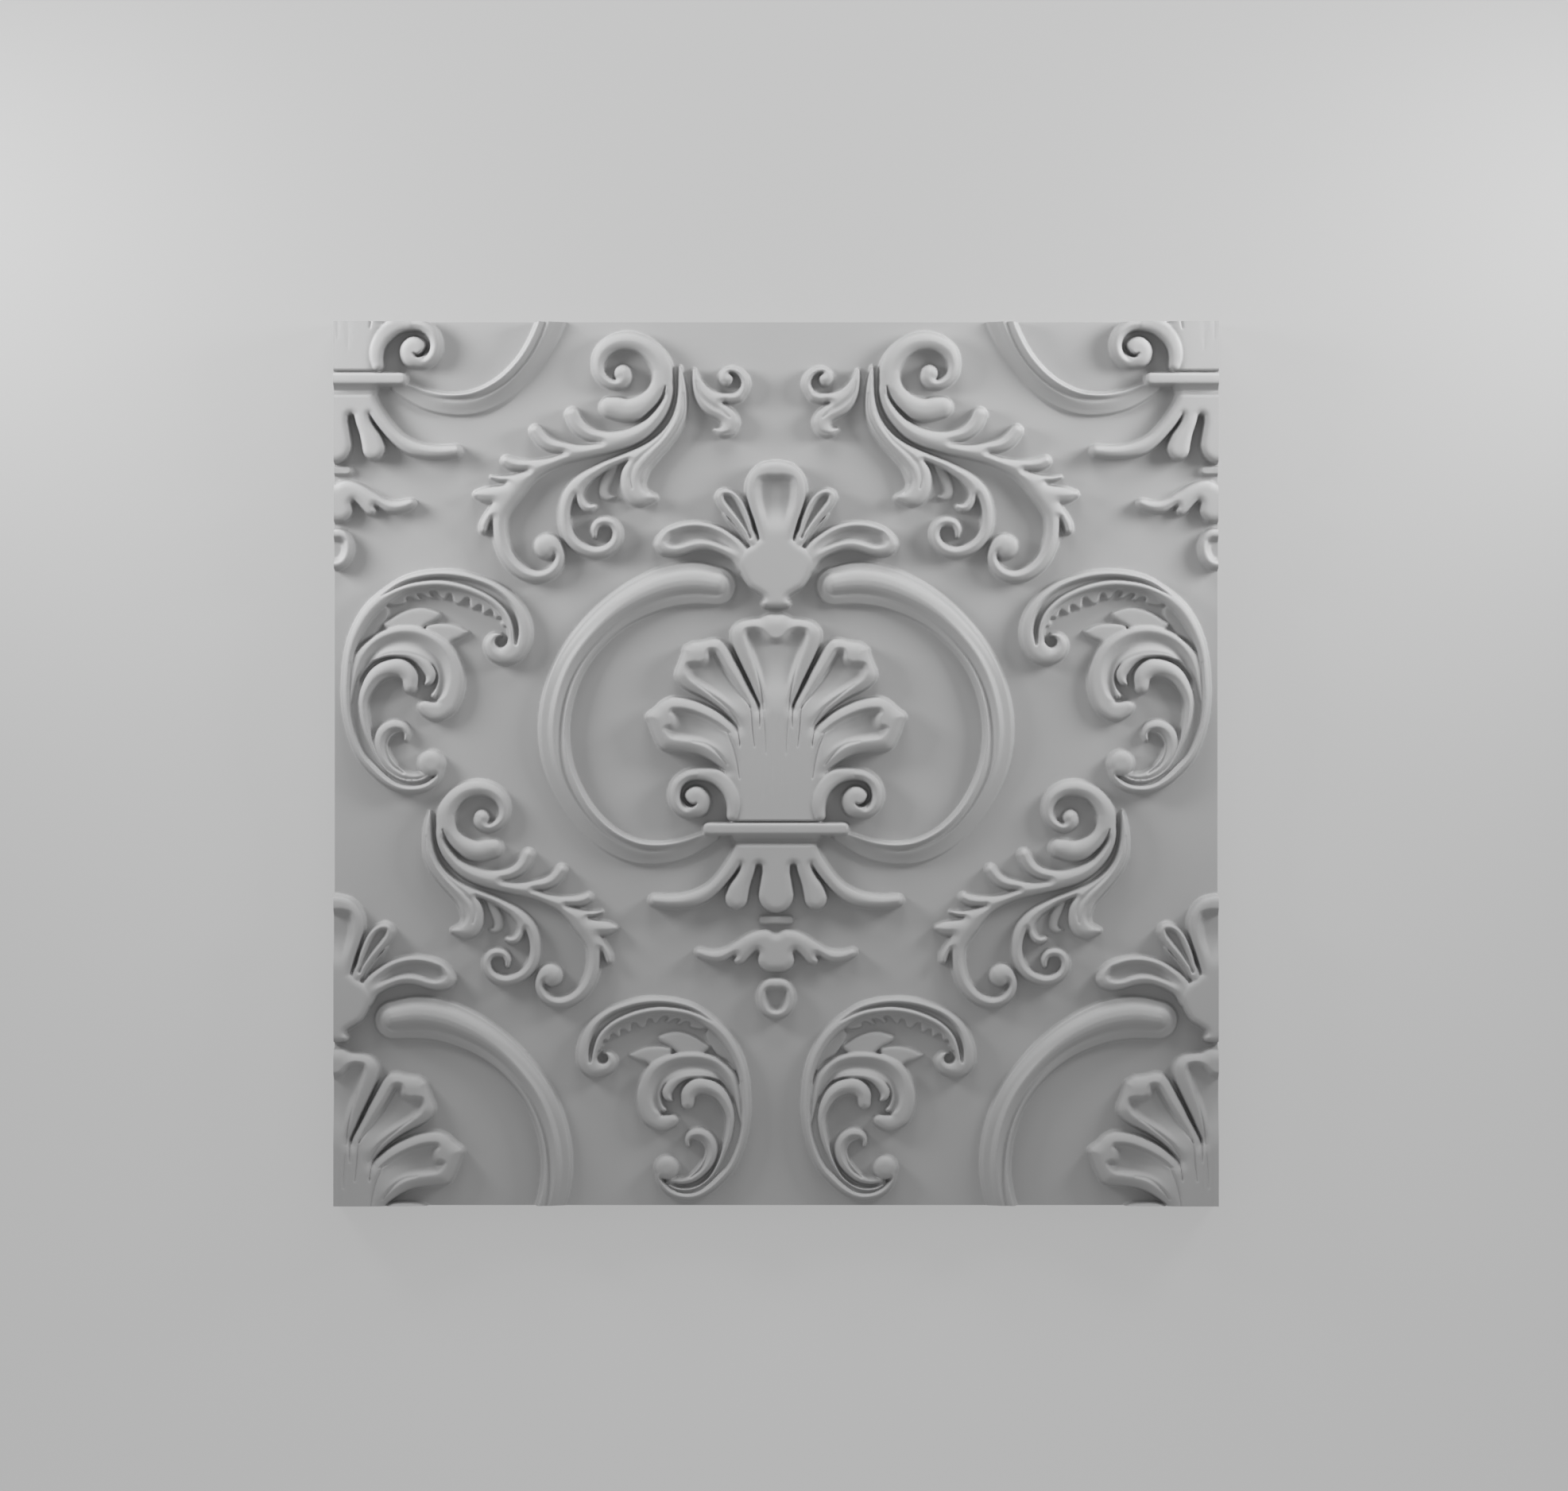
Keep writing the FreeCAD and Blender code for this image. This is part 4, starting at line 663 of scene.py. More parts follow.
# Shell of five ribs, with the two volutes at its foot.
shell = {
    "fan": {"rise": 12.6, "edge": 7.5, "drop": 5.2, "parts": [
        twinned([
            (0, 84.7), (-5, 84.6), (-7, 83.7), (-9, 82.6), (-12, 82.1), (-16, 81.6), (-20, 80.6),
            (-23, 78.7), (-25, 76), (-25.6, 73), (-25.3, 70), (-24.3, 66.5), (-22.5, 62), (-20, 56.5),
            (-17.4, 51), (-14.8, 45.5), (-12.7, 40.5), (-10.7, 36), (-9.7, 33.2), (-9.8, 31), (-10.2, 27),
            (-10.4, 20), (-10.4, 0), (0, -4)]),
        [(-7.6, 20), (-8.4, 28), (-9.3, 31), (-10, 33.2), (-11.3, 36), (-14, 41), (-16.8, 46.2),
         (-19.6, 52), (-22.7, 57.6), (-25.6, 63), (-28.6, 67.7), (-31.5, 70.3), (-34, 70.8), (-37, 70.6),
         (-40, 69.8), (-44, 69.1), (-47.5, 68.7), (-50, 67.4), (-52.3, 65.5), (-53, 62.5), (-53.8, 60),
         (-55.3, 56), (-56.8, 52), (-57, 50), (-56.3, 47.5), (-54, 44.7), (-50, 41.8), (-45, 39.3),
         (-40, 36.7), (-35, 33.5), (-30, 29.6), (-26, 25.7), (-23.8, 23.2), (-22.4, 21), (-22.8, 16),
         (-22.8, 8), (-21, 0), (-6, 0)],
        [(-18.8, 14), (-20.6, 18.4), (-22.2, 21), (-23.8, 22.6), (-26.6, 24.9), (-30, 27.7), (-35, 31),
         (-40, 33.5), (-45, 35.6), (-50, 37), (-55, 37.7), (-59, 37.7), (-62.5, 36.5), (-65.5, 34.5),
         (-68, 32), (-71, 29.8), (-73, 28), (-73.4, 26), (-72.5, 24), (-71.3, 21), (-70, 17.5), (-68.5, 14),
         (-67, 11), (-65, 8.5), (-62.5, 7.4), (-60, 7.2), (-55, 6.8), (-50, 6.3), (-45, 5.3), (-40, 3.3),
         (-36, 1), (-32.5, -1.5), (-30, -3.5), (-27, -7), (-14, -10), (-12, 6)],
        # the plain body, which runs on under the inner limbs of the volutes and the plate
        twinned([
            (0, 30), (-9, 22), (-18, 14), (-22, 2), (-27, -3.6), (-29.2, -6.6), (-28.2, -11), (-26.4, -16),
            (-25.6, -24), (-25.6, -32), (-25.6, -38), (-24, -40), (-12, -40), (0, -40)]),
    ]},
    "centreDish": {"depth": 5.2, "bank": 4.2, "fade": ((0, 60), (0, 28)), "outline": twinned([
        (0, 71.2), (-3, 72), (-5, 73.9), (-7.5, 76.2), (-11, 77.6), (-14.5, 77.6), (-18, 76.4), (-19, 73.5),
        (-18.4, 70), (-16.7, 65), (-14.9, 60), (-13.1, 55), (-11.4, 50), (-10, 45), (-8.9, 40), (-7.9, 35),
        (-7.2, 28), (0, 24)])},
    "upperDish": {"depth": 5.4, "bank": 4.8, "fade": ((-33, 50), (-18, 24)), "outline": [
        (-37, 66), (-33.5, 65.4), (-30.6, 61.8), (-27.2, 55.8), (-22.7, 48.8), (-18.3, 42.2), (-14.5, 35.4),
        (-13.4, 29), (-20, 25), (-24, 28.2), (-28.6, 32.4), (-33.6, 36.6), (-39.5, 40.6), (-45.5, 44.4),
        (-50.4, 48.7), (-52.1, 53), (-51, 57.2), (-46.6, 58.3), (-42.4, 58.4), (-40.6, 59.4), (-40.3, 62.5),
        (-39.4, 65)]},
    "lowerDish": {"depth": 5.2, "bank": 4.8, "fade": ((-46, 22), (-24, 6)), "outline": [
        (-60, 31.4), (-55, 32.2), (-49, 31.3), (-43, 29), (-37, 26), (-31, 22.4), (-26, 18.4),
        (-23.4, 12), (-24.4, 3), (-28.6, 0.6), (-31.9, 4.2), (-36.4, 7.6), (-41.5, 10.2), (-47, 12),
        (-54, 13), (-59.6, 14.2), (-62.5, 16.8), (-64, 20.6), (-61.2, 22.4), (-59.6, 22.6), (-59, 24.5),
        (-59.5, 26.8), (-60.9, 28.6)]},
    "creases": [
        # soft furrows beside the ridges of the ribs
        {"depth": 1.5, "line": [(-35.4, 62, 0.6), (-31.4, 56, 1.5), (-26.6, 48.6, 1.7), (-21.2, 41.4, 1.7),
                                (-17.0, 36.0, 1.3), (-14.4, 31.6, 0.5)]},
        {"depth": 1.3, "line": [(-44, 44.6, 0.5), (-36, 38.6, 1.2), (-30, 34.0, 1.3), (-25.4, 29.8, 1.3),
                                (-22.4, 25.6, 1.1), (-20.0, 20.6, 0.5)]},
        {"depth": 1.0, "line": [(-14.8, 33.0, 0.5), (-13.9, 27, 1.0), (-13.2, 19, 1.1), (-12.2, 10, 0.5)]},
        {"depth": 1.5, "line": [(-56, 30.2, 0.7), (-49, 29.0, 1.5), (-42, 26.6, 1.8), (-36, 23.6, 1.8),
                                (-30.6, 20.2, 1.6), (-26.4, 17.4, 0.6)]},
        {"depth": 1.0, "line": [(-27.0, 17.0, 0.6), (-24.2, 10, 1.5), (-22.2, 2, 1.7), (-20.6, -8, 0.6)]},
        {"depth": 1.2, "line": [(-47, 12.6, 0.5), (-40, 11.0, 1.2), (-34.6, 7.6, 1.4), (-30.6, 3.6, 1.2),
                                (-27.6, -0.4, 0.5)]},
        {"depth": 1.4, "line": [(-13.0, 60, 0.4), (-10.6, 50, 0.9), (-8.4, 41, 1.1), (-7.2, 34.6, 1.0),
                                (-7.0, 30.6, 0.4)]},
        {"depth": 0.7, "line": [(-7.0, 31, 0.5), (-6.6, 24, 1.0), (-6.0, 16, 1.2), (-5.6, 6, 0.5)]},
        # the slots between the ribs run out as fine lines
        {"depth": 2.0, "line": [(-9.8, 33, 0.7), (-9.2, 28.6, 0.6), (-9.1, 25, 0.5), (-9.1, 20.6, 0.3)]},
        {"depth": 1.8, "line": [(-22.2, 21.2, 0.7), (-21.3, 17.6, 0.6), (-20.8, 14, 0.5), (-20.3, 9.6, 0.3)]},
        # faint fluting of the body
        {"depth": 0.25, "line": [(-3.0, 36, 0.4), (-2.6, 24, 2.0), (-2.5, 8, 2.0), (-2.5, -14, 0.4)]},
        {"depth": 0.2, "line": [(-8.4, 18, 0.4), (-8.2, 6, 2.4), (-8.2, -6, 2.4), (-8.2, -20, 0.4)]},
    ],
    "bottomLine": {"floor": 4.0, "slope": 0.4, "line": [(-30, -32.85, 0.2), (0, -32.85, 0.2),
                                                        (3, -32.85, 0.2)]},
    "volute": {"rise": 10.8, "drop": 4.6, "edge": 5.2, "parts": [
        [(-25.0, -26, 2.0), (-25.6, -20, 2.6), (-28.0, -14, 3.6), (-34.5, -7.4, 4.4), (-42, -5.9, 3.7),
         (-50, -6.9, 3.5), (-55.6, -11.3, 3.5), (-57.3, -17.5, 3.4), (-55.8, -23.4, 3.4),
         (-51.4, -27.2, 3.2), (-46.3, -26.6, 3.8), (-43.6, -23.8, 6.0), (-44.2, -20.6, 7.2),
         (-44.8, -20.2, 7.4)]]},
    "voluteLimb": {"rise": 13.8, "drop": 3.4, "edge": 3.6, "end": 0.78, "endRun": 0.8, "line": [
        (-24.6, -28.8, 3.4), (-23.9, -25, 4.0), (-24.7, -18, 4.4), (-27.8, -12, 4.8), (-33.2, -7.6, 4.7),
        (-38.4, -6.2, 4.0), (-42, -5.9, 3.6)]},
    "voluteGap": {"floor": 0.0, "slope": 0.8, "line": [
        (-38.6, -13.0, 1.6), (-41.5, -11.4, 1.5), (-45.5, -10.9, 1.5), (-49.4, -11.8, 1.6),
        (-52.1, -14.3, 1.4), (-52.9, -17.7, 1.2), (-51.5, -21, 1.1), (-49, -23.2, 1.0), (-46.8, -23.6, 0.7),
        (-45.3, -22.6, 0.2)]},
}


def shellField():
    field = newField()
    pillow(field, shell["fan"])
    for name in ("centreDish", "upperDish", "lowerDish"):
        dish(field, shell[name])
    for look in shell["creases"]:
        crease(field, look)
    channel(field, shell["bottomLine"])
    volute = newField()
    pillow(volute, shell["volute"])
    band(volute, shell["voluteLimb"])
    channel(volute, shell["voluteGap"])
    return np.maximum(field, volute)


# Pedestal under the shell, its fringe, and the pendants below.
pedestal = {
    "plate": {"rise": 13.9, "edge": 2.2, "drop": 2.2, "outline": twinned([
        (0, -33.2), (-12, -33.2), (-24, -33.2), (-34, -33.2), (-38, -33.25), (-39.8, -33.7), (-40.8, -34.8),
        (-41.2, -36.4), (-41.2, -37.4), (-40.8, -39), (-39.8, -40), (-38, -40.45), (-34, -40.5), (-24, -40.5),
        (-12, -40.5), (0, -40.5)])},
    "fringe": {"rise": 10.8, "edge": 4.4, "drop": 4.0, "parts": [
        twinned([(0, -36), (-20, -36), (-25, -38), (-25.2, -41.5), (-24.2, -43.4), (-23.7, -46),
                 (-24.2, -48.8), (-26.4, -53), (-28, -57), (-25, -60), (-21.2, -57.6), (-20.2, -57.0),
                 (-19, -57.8), (-14, -59), (-10.8, -57.4), (-9.7, -56.9), (-8.6, -57.6), (-4, -60),
                 (0, -60)]),
        [(-19, -47, 4.6), (-21, -51, 4.2), (-25, -57.6, 4), (-30.5, -64.9, 3.8), (-36.3, -70.8, 3.9),
         (-43.7, -75.4, 4.3), (-52, -77.5, 3.9), (-60, -78, 3.6), (-68.4, -77.4, 3.4)],
        [(-15, -50, 5), (-15.6, -57, 4.6), (-16.6, -61, 4.5), (-19, -66.5, 5), (-21.2, -71.5, 6.1),
         (-22.4, -75.6, 6.6)],
        [(0, -50, 9), (0, -58, 8.4), (0, -61, 8.2), (0, -67, 9), (0, -73.8, 10.1)],
    ]},
    "hollow": {"depth": 3.8, "line": [(-32, -43.6, 3.3), (-10, -43.6, 3.3), (5, -43.6, 3.3)]},
}
pendant = {
    "bar": {"rise": 4.4, "edge": 1.2, "drop": 1.0, "outline": twinned([
        (0, -86), (-4, -86), (-7.4, -86.05), (-9, -86.5), (-9.7, -87.5), (-9.7, -89.5), (-9, -90.5),
        (-7.4, -90.95), (-4, -91), (0, -91)])},
    "wing": {"rise": 9.0, "drop": 4.2, "edge": 5.0, "parts": [twinned([
        (0, -96), (-1.5, -95.6), (-3, -94.7), (-5, -94), (-8, -94), (-12, -94.8), (-15, -96), (-18, -97.5),
        (-21, -99.4), (-25, -101.8), (-28, -103.8), (-31, -105), (-35, -105.6), (-39, -105.2),
        (-42, -104.5), (-44, -104.5), (-45.7, -105.5), (-46, -107), (-45, -108.8), (-42, -110.7),
        (-38, -112), (-34, -112.6), (-30, -112), (-27, -110.5), (-24.5, -109), (-23.2, -108.6),
        (-24.3, -111.5), (-23.5, -113), (-21.5, -113.9), (-19, -113.2), (-16.5, -111), (-14, -108.3),
        (-12, -106.5), (-10.8, -105.8), (-10.1, -106.6), (-10.4, -109), (-10.6, -112), (-9.8, -114),
        (-8, -116), (-6, -117.3), (-3, -117.8), (0, -117.9)])]},
    "drop": {"rise": 8.8, "edge": 3.2, "drop": 3.4, "outline": twinned([
        (0, -121.2), (-4, -121.5), (-7, -123), (-9.2, -126), (-10.5, -129.5), (-10.7, -133), (-10, -137),
        (-8.5, -140), (-6, -142.5), (-3, -144), (0, -144.4)])},
    "dropDish": {"depth": 5.6, "bank": 3.6, "outline": twinned([
        (0, -125.8), (-4.6, -126.0), (-7.0, -127.8), (-7.4, -131), (-6.6, -136), (-4.4, -139.6),
        (0, -141.2)])},
}


def pedestalField():
    field = newField()
    pillow(field, pedestal["fringe"])
    crease(field, pedestal["hollow"])
    lobe(field, pedestal["plate"])
    return field


def pendantField():
    field = newField()
    lobe(field, pendant["bar"])
    pillow(field, pendant["wing"])
    part = newField()
    lobe(part, pendant["drop"])
    dish(part, pendant["dropDish"])
    return np.maximum(field, part)


# The ornament repeats like a wall covering: the centre motif returns at the corners, half a tile
# across and a little over half a tile up, and the side scrolls return smaller in the lower field.
repeat = {
    "cornerUp": 521,          # finest cells
    "cornerDown": 503,
    "lowerAcanthus": {"scale": 0.912, "lift": 0.95, "shift": (-245.6, -231.85)},
    "lowerScroll": {"scale": 0.912, "lift": 0.95, "shift": (-239.9, -232.1)},
    # how the parts of the lower leafy scroll lie off that, before scaling: centre, move, reach
    "lowerNudges": {
        "comma": [((-208, 80), (0, -2.8), 12), ((-192, 24), (0, 2.2), 14)],
        "middle": [((-212, 50), (-1.6, 0.2), 30)],
        "curl": [((-216, 10), (0.9, 4.0), 24)],
        "leaves": [((-173, 74.7), (2.6, -1.0), 8)],
        "stem": [((-194, -1), (0, 3.6), 9), ((-155.6, 61), (1.3, 3.8), 9), ((-140, 79), (-2.2, 0.4), 10),
                 ((-246, 49), (-1.0, 0), 30)],
    },
}


def cornerCopy(field, rows):
    # the right half of the centre motif, moved half a tile to the left and up by the given rows
    turned = field[:, ::-1]
    copy = newField()
    if rows > 0:
        copy[rows:] = turned[:-rows]
    else:
        copy[:rows] = turned[-rows:]
    return copy


def composeRelief():
    # name: heights over the left half of the tile
    motifs = {"ring": ringField(), "shell": shellField()}
    print("ring and shell drawn")
    motifs["palmette"] = palmetteField()
    motifs["pedestal"] = pedestalField()
    motifs["pendants"] = pendantField()
    centre = np.max(list(motifs.values()), axis=0)
    motifs["cornerUpper"] = cornerCopy(centre, repeat["cornerUp"])
    motifs["cornerLower"] = cornerCopy(centre, -repeat["cornerDown"])
    print("centre motif and its corner repeats drawn")
    motifs["acanthusUpper"] = acanthusScroll()
    motifs["acanthusLower"] = acanthusScroll(repeat["lowerAcanthus"])
    print("acanthus scrolls drawn")
    motifs["scrollUpper"] = leafyScroll()
    motifs["scrollLower"] = leafyScroll(repeat["lowerScroll"], repeat["lowerNudges"])
    motifs["bird"] = birdScroll()
    print("leafy scrolls drawn")
    return motifs


def mirroredField(field):
    return np.hstack([field, field[:, -2::-1]])


def blurred(field, radius):
    # each point becomes the bell-weighted mean of its neighbours, along rows and then columns
    reach = 3
    offset = np.arange(-reach, reach + 1)
    weight = np.exp(-0.5 * (offset * cell / radius)**2)
    weight /= weight.sum()
    for axis in (0, 1):
        pad = [(0, 0), (0, 0)]
        pad[axis] = (reach, reach)
        padded = np.pad(field, pad, mode="edge")
        size = field.shape[axis]
        field = sum(w * np.take(padded, np.arange(k, k + size), axis=axis) for k, w in enumerate(weight))
    return field


# Mesh of the relief: coarse cells where it is flat, split in four again and again where it curves.

def splitLevels(height):
    # For each level, which cells are split: a cell is split where its flat patch would leave the true
    # surface by more than the tolerance, or where a neighbour is two levels finer.
    levels = []
    size = tile["coarse"]
    count = tile["cells"] // size
    while size > 1:
        corner = height[::size, ::size]
        a, b, c, d = corner[:-1, :-1], corner[:-1, 1:], corner[1:, :-1], corner[1:, 1:]
        worst = np.zeros((count, count))
        for i in range(size + 1):
            for j in range(size + 1):
                v, u = i / size, j / size
                patch = a * (1 - v) * (1 - u) + b * (1 - v) * u + c * v * (1 - u) + d * v * u
                there = height[i:i + size * (count - 1) + 1:size, j:j + size * (count - 1) + 1:size]
                worst = np.maximum(worst, np.abs(there - patch))
        levels.append(worst > tile["tolerance"])
        size //= 2
        count *= 2
    for k in range(len(levels) - 1, 0, -1):
        need = levels[k].copy()
        need[1:] |= levels[k][:-1]
        need[:-1] |= levels[k][1:]
        need[:, 1:] |= levels[k][:, :-1]
        need[:, :-1] |= levels[k][:, 1:]
        half = need.shape[0] // 2
        levels[k - 1] |= need.reshape(half, 2, half, 2).any(axis=(1, 3))
    return levels


def leafCells(levels):
    # (size, rows, cols, which of the four sides carry a middle point) for each level
    leaves = []
    present = np.ones_like(levels[0])
    size = tile["coarse"]
    for k in range(len(levels) + 1):
        split = levels[k] if k < len(levels) else np.zeros_like(present)
        leaf = present & ~split
        finer = present & split
        side = np.zeros(present.shape + (4,), bool)
        side[1:, :, 0] = finer[:-1]
        side[:, :-1, 1] = finer[:, 1:]
        side[:-1, :, 2] = finer[1:]
        side[:, 1:, 3] = finer[:, :-1]
        rows, cols = np.nonzero(leaf)
        leaves.append((size, rows, cols, side[rows, cols]))
        present = np.repeat(np.repeat(finer, 2, axis=0), 2, axis=1)
        size //= 2
    return leaves


def cellFaces(leaves, owner, name):
    # Faces of one piece as lists of grid-point numbers, grouped by their number of corners.
    # A cell runs anticlockwise, with a middle point on each side that meets smaller cells.
    stride = tile["cells"] + 1
    groups = {}
    for size, rows, cols, side in leaves:
        shrink = tile["coarse"] // size
        mine = owner[rows // shrink, cols // shrink] == name
        r, c, s = rows[mine] * size, cols[mine] * size, side[mine]
        half = size // 2
        ring8 = np.stack([
            r * stride + c, r * stride + c + half, r * stride + c + size, (r + half) * stride + c + size,
            (r + size) * stride + c + size, (r + size) * stride + c + half,
            (r + size) * stride + c, (r + half) * stride + c], axis=1)
        use = np.ones(ring8.shape, bool)
        use[:, 1::2] = s
        code = s @ np.array([1, 2, 4, 8])
        for pattern in range(16):
            pick = code == pattern
            if pick.any():
                faces = ring8[pick][:, use[pick][0]]
                groups.setdefault(faces.shape[1], []).append(faces)
    return {corners: np.vstack(parts) for corners, parts in groups.items()}


def skirtFaces(faces, owner, name):
    # Upright walls round a piece: for each coarse side on its border, one flat face from the points on
    # that side down to the two lower corners, and a lower face under each coarse cell.
    stride = tile["cells"] + 1
    size = tile["coarse"]
    used = np.zeros(stride * stride, bool)
    for part in faces.values():
        used[part.reshape(-1)] = True
    mask = np.pad(owner == name, 1)
    inner = mask[1:-1, 1:-1]
    lower = stride * stride
    walls = {}
    step = np.arange(size + 1)
    for turn, neighbour in enumerate((mask[:-2, 1:-1], mask[1:-1, 2:], mask[2:, 1:-1], mask[1:-1, :-2])):
        r, c = np.nonzero(inner & ~neighbour)
        if not len(r):
            continue
        r, c = r[:, None] * size, c[:, None] * size
        # the side's points, in the cell's own anticlockwise order
        points = [
            r * stride + c + step,
            (r + step) * stride + c + size,
            (r + size) * stride + c + size - step,
            (r + size - step) * stride + c,
        ][turn]
        has = used[points]
        order = np.argsort(~has, axis=1, kind="stable")
        sortedPoints = np.take_along_axis(points, order, axis=1)
        number = has.sum(axis=1)
        for n in np.unique(number):
            top = sortedPoints[number == n][:, :n]
            wallFaces = np.hstack([top[:, ::-1], top[:, :1] + lower, top[:, -1:] + lower])
            walls.setdefault(n + 2, []).append(wallFaces)
    r, c = np.nonzero(inner)
    at = r * size * stride + c * size + lower
    bottom = np.stack([at, at + size * stride, at + size * stride + size, at + size], axis=1)
    walls.setdefault(4, []).append(bottom)
    return {corners: np.vstack(parts) for corners, parts in walls.items()}


def meshFrom(name, groups, flatGroups, height):
    # one mesh out of the grouped faces; the second lot of faces is shaded flat
    stride = tile["cells"] + 1
    both = [(g, True) for g in groups.values()] + [(g, False) for g in flatGroups.values()]
    corners = np.concatenate([g.reshape(-1) for g, _ in both])
    sizes = np.concatenate([np.full(len(g), g.shape[1]) for g, _ in both])
    soft = np.concatenate([np.full(len(g), s) for g, s in both])
    points, corners = np.unique(corners, return_inverse=True)
    below = points >= stride * stride
    at = np.where(below, points - stride * stride, points)
    row, col = at // stride, at % stride
    z = np.where(below, groundLevel - tile["layerDepth"], groundLevel + height[row, col])
    co = np.stack([col * cell - halfSide, row * cell - halfSide, z], axis=1) * mm
    mesh = bpy.data.meshes.new(name)
    mesh.vertices.add(len(co))
    mesh.vertices.foreach_set("co", co.astype(np.float32).reshape(-1))
    mesh.loops.add(len(corners))
    mesh.loops.foreach_set("vertex_index", corners.astype(np.int32))
    mesh.polygons.add(len(sizes))
    starts = np.concatenate([[0], np.cumsum(sizes)[:-1]])
    mesh.polygons.foreach_set("loop_start", starts.astype(np.int32))
    mesh.polygons.foreach_set("loop_total", sizes.astype(np.int32))
    mesh.polygons.foreach_set("use_smooth", soft)
    mesh.update(calc_edges=True)
    return mesh, int((sizes - 2).sum())


def sharpenBorder(mesh):
    # edges between the relief and its upright walls stay crisp
    soft = np.empty(len(mesh.polygons), bool)
    mesh.polygons.foreach_get("use_smooth", soft)
    loopEdge = np.empty(len(mesh.loops), np.int32)
    mesh.loops.foreach_get("edge_index", loopEdge)
    total = np.empty(len(mesh.polygons), np.int32)
    mesh.polygons.foreach_get("loop_total", total)
    perLoop = np.repeat(soft, total)
    hard = np.zeros(len(mesh.edges), bool)
    hard[loopEdge[~perLoop]] = True
    attribute = mesh.attributes.new("sharp_edge", "BOOLEAN", "EDGE")
    attribute.data.foreach_set("value", hard)


def ownerMap(motifs):
    # which motif stands highest in each coarse cell of the whole tile; bare cells are ground
    size = tile["coarse"]
    count = tile["cells"] // size
    half = count // 2
    names = list(motifs)
    tops = []
    for name in names:
        field = motifs[name]
        block = np.zeros((count, half))
        for i in range(size + 1):
            for j in range(size + 1):
                block = np.maximum(block, field[i:i + size * (count - 1) + 1:size,
                                                j:j + size * (half - 1) + 1:size])
        tops.append(block)
    tops = np.array(tops)
    best = tops.argmax(axis=0)
    bare = tops.max(axis=0) <= 0.0
    left = np.array(names, dtype=object)[best]
    left[bare] = "ground"
    return left


def sided(left, middle):
    # whole-tile owners: middle motifs keep one name, the others become a left and a right piece
    right = left[:, ::-1].copy()
    left = left.copy()
    for name in np.unique(left.astype(str)):
        if name not in middle:
            right[right == name] = name + "Right"
            left[left == name] = name + "Left"
    return np.hstack([left, right])


# Plaster.

class Nodes:
    # Adds nodes to one material and gives their sockets back wrapped, so that sums read as sums.
    # An input goes by its name, or as i0, i1 and so on by its number.
    def __init__(self, material):
        self.tree = material.node_tree

    def add(self, kind, settings=None, output=0, **inputs):
        node = self.tree.nodes.new(kind)
        for key, value in (settings or {}).items():
            setattr(node, key, value)
        for key, value in inputs.items():
            name = key.replace("_", " ")
            socket = node.inputs[int(key[1:])] if key[1:].isdigit() else node.inputs[name]
            if isinstance(value, Value):
                self.tree.links.new(value.socket, socket)
            else:
                socket.default_value = value
        return Value(self, node.outputs[output]) if node.outputs else None


class Value:
    def __init__(self, nodes, socket):
        self.nodes = nodes
        self.socket = socket

    def math(self, operation, a, b):
        return self.nodes.add("ShaderNodeMath", {"operation": operation}, i0=a, i1=b)

    def __add__(self, other):
        return self.math("ADD", self, other)

    def __sub__(self, other):
        return self.math("SUBTRACT", self, other)

    def __mul__(self, other):
        return self.math("MULTIPLY", self, other)


plaster = {
    "light": (0.44, 0.44, 0.44, 1.0),
    "dark": (0.395, 0.395, 0.397, 1.0),
    "roughness": 0.72,
    "roughnessSpread": 0.12,
    "specular": 0.3,
    "cloudScale": 14.0,
    "grainScale": 1400.0,
    "poreScale": 420.0,
    "poreReach": 0.22,        # how far a pore reaches, in its cells
    "tint": {"cloud": 0.8, "grain": 0.2},
    "relief": {"grain": 0.35, "speck": 0.3, "cloud": 0.35},
    "bumpStrength": 0.35,
    "bumpDistance": 0.00012,
}


def plasterMaterial():
    material = bpy.data.materials.new("castPlaster")
    material.use_nodes = True
    material.node_tree.nodes.clear()
    n = Nodes(material)
    place = n.add("ShaderNodeTexCoord", output=3)
    cloud = n.add("ShaderNodeTexNoise", Vector=place, Scale=plaster["cloudScale"], Detail=3.0, Roughness=0.5)
    grain = n.add("ShaderNodeTexNoise", Vector=place, Scale=plaster["grainScale"], Detail=2.0, Roughness=0.6)
    pore = n.add("ShaderNodeTexVoronoi", Vector=place, Scale=plaster["poreScale"], Randomness=1.0)
    speck = n.add("ShaderNodeMapRange", {"clamp": True}, Value=pore, From_Min=0.0,
                  From_Max=plaster["poreReach"], To_Min=0.0, To_Max=1.0)
    shade = cloud * plaster["tint"]["cloud"] + grain * plaster["tint"]["grain"]
    colour = n.add("ShaderNodeMix", {"data_type": "RGBA"}, output=2, i0=shade,
                   i6=plaster["dark"], i7=plaster["light"])
    rough = (grain - 0.5) * plaster["roughnessSpread"] + plaster["roughness"]
    share = plaster["relief"]
    relief = grain * share["grain"] + speck * share["speck"] + cloud * share["cloud"]
    bump = n.add("ShaderNodeBump", Strength=plaster["bumpStrength"], Distance=plaster["bumpDistance"],
                 Height=relief)
    surface = n.add("ShaderNodeBsdfPrincipled", Base_Color=colour, Roughness=rough, Normal=bump,
                    Specular_IOR_Level=plaster["specular"])
    n.add("ShaderNodeOutputMaterial", Surface=surface)
    return material


def dress(obj, material):
    obj.data.materials.append(material)
    bpy.context.scene.collection.objects.link(obj)
    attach(obj, "root")
    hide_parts(panelNode)


